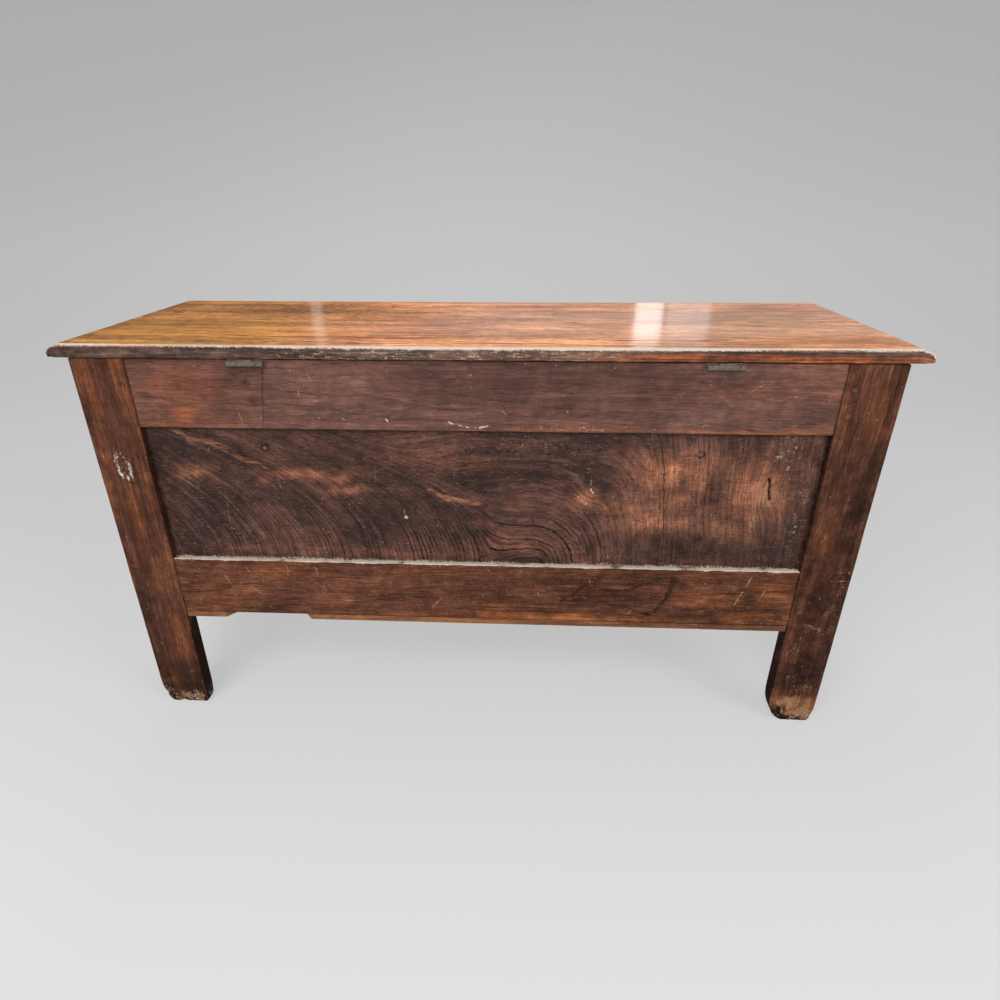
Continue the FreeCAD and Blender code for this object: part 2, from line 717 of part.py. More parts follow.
# right drawer, then its left twin: locally X runs out from the divider, Y in from the face, Z up
drawer_x = d.divider_width / 2 + d.drawer_gap
drawer_y = front_face + d.drawer_inset
drawer_z = drawer_floor + d.drawer_rise
drawer_width = inner_half - d.divider_width / 2 - d.drawer_gap * 2
drawer_height = d.drawer_opening_height - d.drawer_rise - d.drawer_gap
drawer_length = d.body_depth - d.rail_thickness - d.drawer_inset - d.drawer_back_gap
side_height = drawer_height - d.drawer_side_drop
groove_low = d.drawer_bottom_rise
groove_high = groove_low + d.drawer_bottom_thickness + d.drawer_play * 2
groove_in = d.drawer_side_thickness - d.drawer_groove_depth
tail_centres = [drawer_height / 2 - d.dovetail_spacing / 2, drawer_height / 2 + d.dovetail_spacing / 2]
back_low = drawer_length - d.drawer_back_set - d.drawer_back_thickness
back_high = drawer_length - d.drawer_back_set
knob_xs = [drawer_width / 2 - d.knob_spacing / 2, drawer_width / 2 + d.knob_spacing / 2]


def tail(centre, play):
    """One dovetail seen from the side of the drawer."""
    root, tip = d.dovetail_root / 2 + play, d.dovetail_tip / 2 + play
    tip_y = d.dovetail_lap + d.drawer_play - play
    return [(tip_y, centre - tip), (d.drawer_front_thickness, centre - root),
            (d.drawer_front_thickness, centre + root), (tip_y, centre + tip)]


def drawer_front():
    body = new_body("drawer_right_front")
    add(body, "XZ_Plane", 0, d.drawer_front_thickness, box(0, 0, drawer_width, drawer_height))
    dress(body, "Chamfer", d.front_edge_bevel, lambda edge: lies_at(edge, Y=0))
    sockets = [tail(centre, d.drawer_play) for centre in tail_centres]
    depth = d.drawer_side_thickness + d.drawer_play
    cut(body, "YZ_Plane", -OVER, depth, *sockets)
    cut(body, "YZ_Plane", drawer_width - depth, drawer_width + OVER, *sockets)
    cut(body, "YZ_Plane", groove_in, drawer_width - groove_in,
        box(d.drawer_front_thickness - d.drawer_groove_depth, groove_low, d.drawer_front_thickness + OVER,
            groove_high))
    cut(body, "XZ_Plane", -OVER, d.drawer_front_thickness + OVER,
        *[octagon(x, drawer_height / 2, d.knob_spigot + d.drawer_play * 2) for x in knob_xs])
    return body


def drawer_side(label, hand):
    """Side board: its grooved face looks along X times hand."""
    body = new_body(label)
    thickness = d.drawer_side_thickness
    outer = as_size(0) if hand > 0 else drawer_width - thickness
    add(body, "YZ_Plane", outer, outer + thickness,
        box(d.drawer_front_thickness, 0, drawer_length, side_height))
    add(body, "YZ_Plane", outer, outer + thickness, *[tail(centre, as_size(0)) for centre in tail_centres])
    low = groove_in if hand > 0 else drawer_width - thickness - OVER
    high = thickness + OVER if hand > 0 else drawer_width - groove_in
    cut(body, "YZ_Plane", low, high,
        box(d.drawer_front_thickness - OVER, groove_low, drawer_length + OVER, groove_high))
    cut(body, "YZ_Plane", low, high,
        box(back_low - d.drawer_play, groove_low, back_high + d.drawer_play, side_height + OVER))
    return body


def drawer_back():
    body = new_body("drawer_right_back")
    add(body, "XZ_Plane", back_low, back_high,
        box(groove_in + d.drawer_play, groove_high, drawer_width - groove_in - d.drawer_play,
            drawer_height - d.drawer_back_drop))
    return body


def drawer_bottom():
    body = new_body("drawer_right_bottom")
    add(body, "XY_Plane", groove_low + d.drawer_play, groove_high - d.drawer_play,
        box(groove_in + d.drawer_play,
            d.drawer_front_thickness - d.drawer_groove_depth + d.drawer_play,
            drawer_width - groove_in - d.drawer_play, drawer_length - d.drawer_back_set))
    return body


def knob(x):
    """Turned knob, on a spigot cut to eight sides that goes through the drawer front."""
    body = new_body("knob")
    reach = d.knob_reach
    neck, head = d.knob_neck / 2, d.knob_head / 2
    under = d.knob_thickness - reach
    turn(body, "XY_Plane", [(0, 0), (0, -reach), (head, -reach), (head, under), (neck, under), (neck, 0)])
    add(body, "XZ_Plane", 0, d.drawer_front_thickness, octagon(0, 0, d.knob_spigot))
    return place(body, x + drawer_x, drawer_y, drawer_z + drawer_height / 2)


right_drawer = {
    "front": drawer_front(),
    "side_inner": drawer_side("drawer_right_side_inner", 1),
    "side_outer": drawer_side("drawer_right_side_outer", -1),
    "back": drawer_back(),
    "bottom": drawer_bottom(),
}
for board in right_drawer.values():
    place(board, drawer_x, drawer_y, drawer_z)
right_drawer["knobs"] = group("drawer_right_knobs", [knob(x) for x in knob_xs])
for name, board in right_drawer.items():
    mirror("drawer_left_" + name, board)

# lid boards: locally X from the middle, Y from the back edge of the board, Z up from its underside
thick = d.lid_thickness


def end_profile(edge, hand):
    """The moulding cut from the top of an edge, and the round cut from its underside."""
    inner = edge - d.moulding_width * hand
    under = edge - d.nose_round * hand
    outer = edge + as_size(OVER) * hand
    drop = thick - d.moulding_drop
    return [[(inner, thick - d.moulding_step, inner), (edge, drop), (outer, drop), (outer, thick + OVER),
             (inner, thick + OVER)],
            [(under, 0, under), (edge, d.nose_round), (outer, d.nose_round), (outer, -OVER), (under, -OVER)]]


ends = end_profile(lid_half, 1) + end_profile(-lid_half, -1)

lid_rear = new_body("lid_board_rear")
add(lid_rear, "XY_Plane", 0, thick, box(-lid_half, -d.lid_rear_board_width, lid_half, 0))
cut(lid_rear, "XZ_Plane", -d.lid_rear_board_width - OVER, OVER, *ends)
arris = d.back_arris_round
cut(lid_rear, "YZ_Plane", -lid_half - OVER, lid_half + OVER,
    [(-arris, thick, -arris), (as_size(0), thick - arris), (as_size(OVER), thick - arris),
     (as_size(OVER), thick + OVER), (-arris, thick + OVER)])
cut(lid_rear, "XY_Plane", -OVER, pilot_depth,
    *[octagon(x + along, -inward - d.lid_back_overhang, pilot)
      for x in hinges.values() for along, inward in screw_spots])
lid_back = back_face + d.lid_back_overhang
place(lid_rear, 0, lid_back, lid_bottom)

lid_front = new_body("lid_board_front")
front_board_width = (d.body_depth + d.lid_front_overhang + d.lid_back_overhang - d.lid_rear_board_width
                     - d.lid_joint_gap)
add(lid_front, "XY_Plane", 0, thick, box(-lid_half, -front_board_width, lid_half, 0))
dress(lid_front, "Fillet", d.lid_corner_round, lambda edge: lies_at(edge, X=-lid_half, Y=-front_board_width))
dress(lid_front, "Fillet", d.lid_corner_ease, lambda edge: lies_at(edge, X=lid_half, Y=-front_board_width))
cut(lid_front, "XZ_Plane", -front_board_width - OVER, OVER, *ends)
cut(lid_front, "YZ_Plane", -lid_half - OVER, lid_half + OVER, *end_profile(-front_board_width, -1))
place(lid_front, 0, lid_back - d.lid_rear_board_width - d.lid_joint_gap, lid_bottom)

batten = new_body("lid_batten_right")
batten_front = inner_front + d.batten_end_gap
batten_back = inner_back - d.batten_end_gap * 2
slope = d.batten_end_slope
add(batten, "YZ_Plane", 0, d.batten_width,
    [(batten_front, 0), (batten_front, d.batten_thickness * -0.4),
     (batten_front + slope, -d.batten_thickness), (batten_back - slope, -d.batten_thickness),
     (batten_back, d.batten_thickness * -0.4), (batten_back, 0)])
place(batten, rail_side - d.batten_side_gap - d.batten_width, 0, lid_bottom)
mirror("lid_batten_left", batten)

# hinges: locally X runs along the pin, Y back, Z up, from the middle of the pin
bore = d.pin_diameter + d.pin_play * 2
upper_low = d.hinge_drop - d.leaf_thickness
lower_high = upper_low - d.leaf_gap
lower_low = lower_high - d.leaf_thickness
knuckle_half = d.middle_knuckle_length / 2
leaf_front = d.leaf_play - hinge_to_face - d.leaf_reach
clear_y = -barrel_radius - d.leaf_clearance
screw_hole = d.screw_diameter + d.screw_play * 2
sink_size = (d.screw_head - d.screw_diameter) / 2


def countersink(body, face):
    """Screw holes through the leaf, opened to take the heads at the given face."""
    cut(body, "XY_Plane", lower_low - OVER, d.hinge_drop + OVER,
        *[octagon(along, -hinge_to_face - inward, screw_hole) for along, inward in screw_spots])
    flat = screw_hole.number * math.sin(math.pi / 8)

    def rim(edge):
        return abs(edge.Length - flat) < 0.01 and lies_at(edge, Z=face)

    dress(body, "Chamfer", sink_size, rim)


def lower_leaf(side, x):
    body = new_body("hinge_lower_leaf_" + side)
    add(body, "XY_Plane", lower_low, lower_high, box(-leaf_half, leaf_front, leaf_half, 0))
    add(body, "YZ_Plane", -leaf_half, leaf_half, ring(0, 0, d.barrel_diameter))
    gap = knuckle_half + d.knuckle_gap
    cut(body, "XY_Plane", -barrel_radius - OVER, barrel_radius + OVER,
        box(-gap, clear_y, gap, barrel_radius + OVER))
    cut(body, "YZ_Plane", -leaf_half - OVER, leaf_half + OVER, ring(0, 0, bore))
    countersink(body, lower_high)
    return place(body, x, hinge_y, hinge_z)


def upper_leaf(side, x):
    body = new_body("hinge_upper_leaf_" + side)
    web = d.leaf_thickness * 0.75
    add(body, "XY_Plane", upper_low, d.hinge_drop,
        [(-leaf_half, leaf_front), (leaf_half, leaf_front), (leaf_half, clear_y), (knuckle_half, clear_y),
         (knuckle_half, web), (-knuckle_half, web), (-knuckle_half, clear_y), (-leaf_half, clear_y)])
    add(body, "YZ_Plane", -knuckle_half, knuckle_half, box(-web, 0, web, upper_low + d.leaf_thickness / 2))
    add(body, "YZ_Plane", -knuckle_half, knuckle_half, ring(0, 0, d.barrel_diameter))
    cut(body, "YZ_Plane", -leaf_half - OVER, leaf_half + OVER, ring(0, 0, bore))
    countersink(body, upper_low)
    return place(body, x, hinge_y, hinge_z)


def screw(x, y, z, tilt):
    """Blunt screw with a countersunk head, filed to eight sides, hanging down from its flat top."""
    body = new_body("screw")
    shank = octagon(0, 0, d.screw_diameter)
    add(body, "XY_Plane", -d.screw_length, -d.screw_head_depth, shank)
    neck = draw(body, "XY_Plane", -d.screw_head_depth, [shank])
    top = draw(body, "XY_Plane", 0, [octagon(0, 0, d.screw_head)])
    head = body.newObject("PartDesign::AdditiveLoft", "head")
    head.Profile = neck
    head.Sections = [top]
    head.Ruled = True
    body.Tip = head
    return place(body, x, y, z, tilt, (1, 0, 0))


lower_screws, upper_screws = [], []
for side, x in hinges.items():
    lower_leaf(side, x)
    upper_leaf(side, x)
    pin = doc.addObject("Part::Cylinder", "hinge_pin_" + side)
    pin.Label = "hinge_pin_" + side
    bind(pin, "Radius", d.pin_diameter / 2)
    bind(pin, "Height", d.hinge_length)
    place(pin, x - leaf_half, hinge_y, hinge_z, 90, (0, 1, 0))
    for along, inward in screw_spots:
        y = back_face - inward
        lower_screws.append(screw(x + along, y, hinge_z + lower_high, 0))
        upper_screws.append(screw(x + along, y, hinge_z + upper_low, 180))
group("hinge_screws_lower", lower_screws)
group("hinge_screws_upper", upper_screws)

NODES = """
front_stile_left front_stile_right rear_stile_left rear_stile_right
rear_top_rail rear_bottom_rail rear_panel
side_top_rail_left side_top_rail_right side_bottom_rail_left side_bottom_rail_right
side_panel_left side_panel_right
front_top_rail front_middle_rail front_bottom_rail front_muntin_left front_muntin_right
front_panel_left front_panel_centre front_panel_right drawer_divider joint_pegs
floor_ledger_rear floor_board_outer_left floor_board_inner_left
floor_board_inner_right floor_board_outer_right
bottom_board_rear_long bottom_board_rear_short bottom_board_front
drawer_runner_left drawer_runner_centre drawer_runner_right drawer_guides
hinge_lower_leaf_left hinge_lower_leaf_right hinge_pin_left hinge_pin_right hinge_screws_lower
lid_board_rear lid_board_front lid_batten_left lid_batten_right
hinge_upper_leaf_left hinge_upper_leaf_right hinge_screws_upper
drawer_left_front drawer_left_side_outer drawer_left_side_inner drawer_left_back drawer_left_bottom
drawer_left_knobs
drawer_right_front drawer_right_side_outer drawer_right_side_inner drawer_right_back drawer_right_bottom
drawer_right_knobs
""".split()

doc.recompute()
for item in doc.Objects:
    if "Invalid" in item.State or "Error" in item.State:
        raise RuntimeError(item.Label + " did not build")

os.makedirs("parts", exist_ok=True)
for label in NODES:
    shape = doc.getObjectsByLabel(label)[0].Shape
    if shape.isNull() or not shape.isValid():
        raise RuntimeError(label + " has no sound shape")
    shape.exportStep(f"parts/{label}.step")
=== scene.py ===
import math

import bpy
import numpy as np
from mathutils import Matrix, Vector


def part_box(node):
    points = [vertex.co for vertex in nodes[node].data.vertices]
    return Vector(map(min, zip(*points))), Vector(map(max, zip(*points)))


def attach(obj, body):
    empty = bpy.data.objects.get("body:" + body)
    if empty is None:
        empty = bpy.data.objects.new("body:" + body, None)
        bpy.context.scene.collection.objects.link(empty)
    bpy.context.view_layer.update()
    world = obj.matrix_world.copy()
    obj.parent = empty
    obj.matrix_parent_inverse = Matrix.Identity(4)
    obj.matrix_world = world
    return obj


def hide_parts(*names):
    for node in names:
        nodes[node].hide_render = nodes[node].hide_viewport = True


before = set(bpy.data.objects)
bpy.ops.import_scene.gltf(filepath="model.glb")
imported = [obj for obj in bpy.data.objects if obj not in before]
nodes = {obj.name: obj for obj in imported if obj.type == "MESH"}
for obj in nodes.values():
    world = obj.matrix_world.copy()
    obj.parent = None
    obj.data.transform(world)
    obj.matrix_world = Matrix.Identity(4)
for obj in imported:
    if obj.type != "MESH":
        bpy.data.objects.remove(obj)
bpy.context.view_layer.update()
scene = bpy.context.scene
scene.view_settings.view_transform = "Standard"


# Fixed noise on arrays of points

def hashed(i, j, k, seed):
    """A fixed value from -1 to 1 for each lattice point."""
    h = (i * 374761393 + j * 668265263 + k * 1440662683 + seed * 1274126177) & 0xFFFFFFFF
    h = ((h ^ (h >> 13)) * 1274126177) & 0xFFFFFFFF
    h = ((h ^ (h >> 16)) * 1540483477) & 0xFFFFFFFF
    return ((h ^ (h >> 15)) & 0xFFFFFF) / 8388607.5 - 1.0


def noise(points, seed):
    """Smooth noise from -1 to 1, with features about one unit across."""
    cell = np.floor(points).astype(np.int64)
    part = points - cell
    part = part * part * part * (part * (part * 6 - 15) + 10)
    total = np.zeros(len(points))
    for corner in range(8):
        step = np.array((corner & 1, corner >> 1 & 1, corner >> 2))
        weight = np.prod(np.where(step, part, 1 - part), axis=1)
        i, j, k = (cell + step).T
        total += weight * hashed(i, j, k, seed)
    return total


OCTAVES = 3


def cloud(points, size, seed):
    """Noise with features of the given size or sizes in metres, and finer ones in it."""
    total = np.zeros(len(points))
    scaled = points / np.asarray(size)
    for octave in range(OCTAVES):
        total += noise(scaled * 2 ** octave, seed + 17 * octave) / 2 ** octave
    return total / (2 - 0.5 ** (OCTAVES - 1))


def smooth(low, high, value):
    t = np.clip((value - low) / (high - low), 0, 1)
    return t * t * (3 - 2 * t)


def blots(a, b, spots):
    """The strongest of soft ellipses, each (a, b, half length, half height, strength) in millimetres."""
    total = np.zeros(len(a))
    for ca, cb, ra, rb, strength in spots:
        far = ((a - ca) / ra) ** 2 + ((b - cb) / rb) ** 2
        total = np.maximum(total, strength * np.exp(-far))
    return total


def stroke(a, b, path, width):
    """How close each point is to a drawn line, from 0 to 1. All in millimetres."""
    near = np.full(len(a), np.inf)
    for (a0, b0), (a1, b1) in zip(path, path[1:]):
        da, db = a1 - a0, b1 - b0
        t = np.clip(((a - a0) * da + (b - b0) * db) / (da * da + db * db), 0, 1)
        near = np.minimum(near, np.hypot(a - a0 - t * da, b - b0 - t * db))
    return np.clip(1.4 - near / width, 0, 1)


def scratches(board, a, b, paths, width, amount):
    """Thin, uneven, broken marks along drawn lines."""
    wander = 1.6 * board.vary(0.012, board.seed + 41)
    touch = smooth(-0.45, 0.25, board.vary(0.009, board.seed + 42))
    total = np.zeros(len(a))
    for path in paths:
        total = np.maximum(total, stroke(a + wander, b + wander, path, width))
    return amount * total * touch


# Meshes

ARRIS = (0.0, 0.0006, 0.0015, 0.003, 0.005)
PLAIN_CELLS = 8
RING = 0.0055
TINY = 1e-9


def lines(low, high, step, near=ARRIS):
    """Lattice lines from low to high: close together at both ends, then about step apart."""
    count = max(1, round((high - low - 2 * near[-1]) / step))
    middle = np.linspace(low + near[-1], high - near[-1], count + 1)
    ends = np.array(near[:-1])
    return np.concatenate((low + ends, middle, (high - ends)[::-1]))


def coarse(index, size):
    """Polygons over a grid of point numbers, in blocks of size cells that keep every point of the rim."""
    last_r, last_c = index.shape[0] - 1, index.shape[1] - 1
    rows = [*range(0, last_r, size), last_r]
    columns = [*range(0, last_c, size), last_c]
    polygons = []
    for r0, r1 in zip(rows, rows[1:]):
        for c0, c1 in zip(columns, columns[1:]):
            loop = list(index[r0:r1, 0]) if c0 == 0 else [index[r0, c0]]
            loop += list(index[last_r, c0:c1]) if r1 == last_r else [index[r1, c0]]
            loop += list(index[r1:r0:-1, last_c]) if c1 == last_c else [index[r1, c1]]
            loop += list(index[0, c1:c0:-1]) if r0 == 0 else [index[r0, c1]]
            polygons.append(loop)
    return polygons


def block(axes, plain=()):
    """Points and polygons of a box's closed surface.
    plain names the faces, as (axis, side), that get large polygons."""
    shape = tuple(len(a) for a in axes)
    polygons = []
    for axis in range(3):
        a, b = (axis + 1) % 3, (axis + 2) % 3
        for side in (0, 1):
            i, j = np.meshgrid(np.arange(shape[a]), np.arange(shape[b]), indexing="ij")
            place = [None] * 3
            place[axis] = np.full(i.shape, side * (shape[axis] - 1))
            place[a], place[b] = i, j
            index = np.ravel_multi_index(place, shape)
            if (axis, side) in plain:
                found = coarse(index, PLAIN_CELLS)
            else:
                found = np.stack((index[:-1, :-1], index[1:, :-1], index[1:, 1:], index[:-1, 1:]), -1)
                found = found.reshape(-1, 4).tolist()
            polygons += found if side else [loop[::-1] for loop in found]
    sizes = np.array([len(loop) for loop in polygons])
    used, corners = np.unique(np.concatenate(polygons), return_inverse=True)
    i, j, k = np.unravel_index(used, shape)
    return np.stack((axes[0][i], axes[1][j], axes[2][k]), 1), corners.ravel(), sizes


def mesh_of(name, points, corners, sizes):
    mesh = bpy.data.meshes.new(name)
    mesh.vertices.add(len(points))
    mesh.vertices.foreach_set("co", np.asarray(points, np.float32).ravel())
    mesh.loops.add(len(corners))
    mesh.loops.foreach_set("vertex_index", np.asarray(corners, np.int32))
    mesh.polygons.add(len(sizes))
    starts = np.concatenate(((0,), np.cumsum(sizes)[:-1]))
    mesh.polygons.foreach_set("loop_start", np.asarray(starts, np.int32))
    mesh.update(calc_edges=True)
    mesh.validate()
    mesh.shade_smooth()
    return mesh


def piece(name, mesh, material, body, slot, *replaced):
    thing = bpy.data.objects.new(name, mesh)
    scene.collection.objects.link(thing)
    mesh.materials.append(material)
    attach(thing, body)
    if replaced:
        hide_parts(*replaced)
    return thing


def lathe(profile, centres, segments=40):
    """Closed turnings about the Y direction through each of centres, (x, z).
    profile lists (radius, y), and starts and ends on the axis."""
    turns = np.linspace(0, 2 * math.pi, segments, endpoint=False)
    points, corners, sizes = [], [], []
    for x, z in centres:
        first = len(points)
        points.append((x, profile[0][1], z))
        for radius, y in profile[1:-1]:
            points += [(x + radius * math.cos(t), y, z + radius * math.sin(t)) for t in turns]
        points.append((x, profile[-1][1], z))
        last_ring = len(points) - 1 - segments
        for k in range(segments):
            following = (k + 1) % segments
            corners += [first, first + 1 + k, first + 1 + following]
            sizes.append(3)
            for ring in range(first + 1, last_ring, segments):
                after = ring + segments
                corners += [ring + k, after + k, after + following, ring + following]
                sizes.append(4)
            corners += [last_ring + k, len(points) - 1, last_ring + following]
            sizes.append(3)
    return points, corners, sizes


class Board:
    """A worn length of oak: a box with rounded arrises, uneven faces, and painted fields for its material."""

    # The dust field also carries a painted highlight along the lid's rear arris.
    FIELDS = ("ring", "warm", "dark", "bare", "dust", "open")
    polish = None

    def __init__(self, low, high, along, steps, seed, radius=0.0022, uneven=0.0005, plain=(), axes=None):
        self.low, self.high = np.array(low, float), np.array(high, float)
        self.seed = seed
        self.order = [along, (along + 1) % 3, (along + 2) % 3]
        axes = axes or [lines(l, h, s) for l, h, s in zip(low, high, steps)]
        self.rest, self.corners, self.sizes = block(axes, plain)
        shift = np.array((seed * 1.37, seed * 0.73, seed * 0.41)) % 7.0
        self.grain = self.rest[:, self.order] + shift
        gaps = np.sort(np.minimum(self.rest - self.low, self.high - self.rest), axis=1)
        self.edge = gaps[:, 1]
        self.radius = radius * (1 + 0.55 * self.vary(0.06, seed))
        self.lift = uneven * self.vary(0.16, seed + 3)
        self.lift += 0.3 * uneven * cloud(self.grain, (0.05, 0.006, 0.006), seed + 5)
        for field in self.FIELDS:
            setattr(self, field, np.zeros(len(self.rest)))
        self.heart(0.11, 0.3, 0.05)

    def mm(self, axis):
        return self.rest[:, axis] * 1000

    def vary(self, size, seed):
        return cloud(self.rest, size, seed)

    def heart(self, depth, side, tilt, pitch=RING, wander=0.012):
        """Growth rings round a heart that lies outside the board:
        depth below it, side across it, tilted along it."""
        low, high = self.low[self.order], self.high[self.order]
        p = self.rest[:, self.order] - (low + high) / 2
        span = high - low
        wide, thin = (1, 2) if span[1] > span[2] else (2, 1)
        across = p[:, wide] - side * span[wide]
        below = p[:, thin] + depth + tilt * p[:, 0]
        across = across + wander * cloud(self.grain, (0.35, 0.12, 0.12), self.seed + 9)
        reach = np.hypot(across, below)
        reach += 0.35 * wander * cloud(self.grain, (0.16, 0.03, 0.03), self.seed + 11)
        self.ring = reach / pitch
        self.veins(0.45)

    def veins(self, amount, contrast=2.0):
        """Strength of each growth line: a few strong ones among many faint ones."""
        number = np.floor(self.ring + 0.5).astype(np.int64)
        chance = 0.5 + 0.5 * hashed(number, number * 0, number * 0, self.seed)
        self.open = amount * (0.12 + 0.88 * chance ** contrast)

    def wear(self, amount=0.5, reach=0.007):
        """Rubbed, warmer arrises, and patches of warm and dark tone."""
        rub = self.vary(0.07, self.seed + 21)
        self.warm += amount * np.exp(-self.edge / reach) * smooth(-0.25, 0.5, rub)
        self.warm += 0.5 * smooth(0.1, 0.7, cloud(self.grain, (0.22, 0.05, 0.05), self.seed + 22))
        self.dark += 0.55 * smooth(0.12, 0.75, cloud(self.grain, (0.2, 0.05, 0.05), self.seed + 23))

    def shaped(self):
        r = np.maximum(self.radius, 0.0002)[:, None]
        core = np.clip(self.rest, self.low + r, self.high - r)
        normal = self.rest - core
        normal /= np.maximum(np.linalg.norm(normal, axis=1, keepdims=True), TINY)
        return core + normal * (r + self.lift[:, None])

    def make(self, name, material, body, slot, *replaced, points=None):
        mesh = mesh_of(name, self.shaped() if points is None else points, self.corners, self.sizes)
        polished = () if self.polish is None else ("polish",)
        for field in self.FIELDS + polished:
            layer = mesh.attributes.new(field, "FLOAT", "POINT")
            layer.data.foreach_set("value", np.asarray(getattr(self, field), np.float32))
        layer = mesh.attributes.new("grain", "FLOAT_VECTOR", "POINT")
        layer.data.foreach_set("vector", np.asarray(self.grain, np.float32).ravel())
        return piece(name, mesh, material, body, slot, *replaced)


# Materials

class Graph:
    """Adds linked shader nodes to one new material."""

    def __init__(self, name):
        self.material = bpy.data.materials.new(name)
        self.material.use_nodes = True
        self.tree = self.material.node_tree
        self.tree.nodes.clear()

    def feed(self, socket, value):
        if isinstance(value, bpy.types.NodeSocket):
            self.tree.links.new(value, socket)
        else:
            socket.default_value = value

    def add(self, kind, inputs=None, **settings):
        node = self.tree.nodes.new("ShaderNode" + kind)
        for key, value in settings.items():
            setattr(node, key, value)
        for key, value in (inputs or {}).items():
            self.feed(node.inputs[key], value)
        return node

    def math(self, operation, a, b=0.0, c=0.0, clamp=False):
        return self.add("Math", {0: a, 1: b, 2: c}, operation=operation, use_clamp=clamp).outputs[0]

    def times(self, a, b, clamp=False):
        return self.math("MULTIPLY", a, b, clamp=clamp)

    def times_plus(self, a, b, c):
        return self.math("MULTIPLY_ADD", a, b, c)

    def vector(self, operation, a, b):
        return self.add("VectorMath", {0: a, 1: b}, operation=operation).outputs["Vector"]

    def attribute(self, name, output="Fac"):
        return self.add("Attribute", attribute_name=name).outputs[output]

    def noise(self, place, scale, detail=2.0, rough=0.5):
        """Noise with a scale for each axis. The last scale given also serves the axes after it."""
        scale = np.atleast_1d(scale).astype(float)
        place = self.vector("MULTIPLY", place, tuple(scale[np.minimum((0, 1, 2), len(scale) - 1)]))
        inputs = {"Vector": place, "Scale": 1.0, "Detail": detail, "Roughness": rough}
        return self.add("TexNoise", inputs).outputs["Fac"]

    def spread(self, value, low, high, out_low=0.0, out_high=1.0):
        inputs = {"Value": value, "From Min": low, "From Max": high, "To Min": out_low, "To Max": out_high}
        return self.add("MapRange", inputs, interpolation_type="SMOOTHSTEP").outputs["Result"]

    def mix(self, factor, a, b, blend="MIX"):
        node = self.add("Mix", {0: factor, 6: a, 7: b}, data_type="RGBA", blend_type=blend)
        return node.outputs[2]

    def bump(self, height, strength, distance):
        inputs = {"Height": height, "Strength": strength, "Distance": distance}
        return self.add("Bump", inputs).outputs["Normal"]

    def finished(self, shader):
        self.add("OutputMaterial", {"Surface": shader.outputs[0]})
        return self.material

    def surface(self, inputs):
        return self.finished(self.add("BsdfPrincipled", inputs))


def rgb(red, green, blue):
    """A colour from its display values of 0 to 255."""
    return tuple((((c / 255) + 0.055) / 1.055) ** 2.4 for c in (red, green, blue)) + (1.0,)


RELIEF_DEPTH = 0.001
BARE_OAK = rgb(104, 68, 46), rgb(176, 136, 102)
FLAKE = rgb(176, 146, 126)
# Pale colour for dust, and for the painted highlight along the lid's rear arris.
DUST_AND_SHEEN = rgb(198, 185, 170)


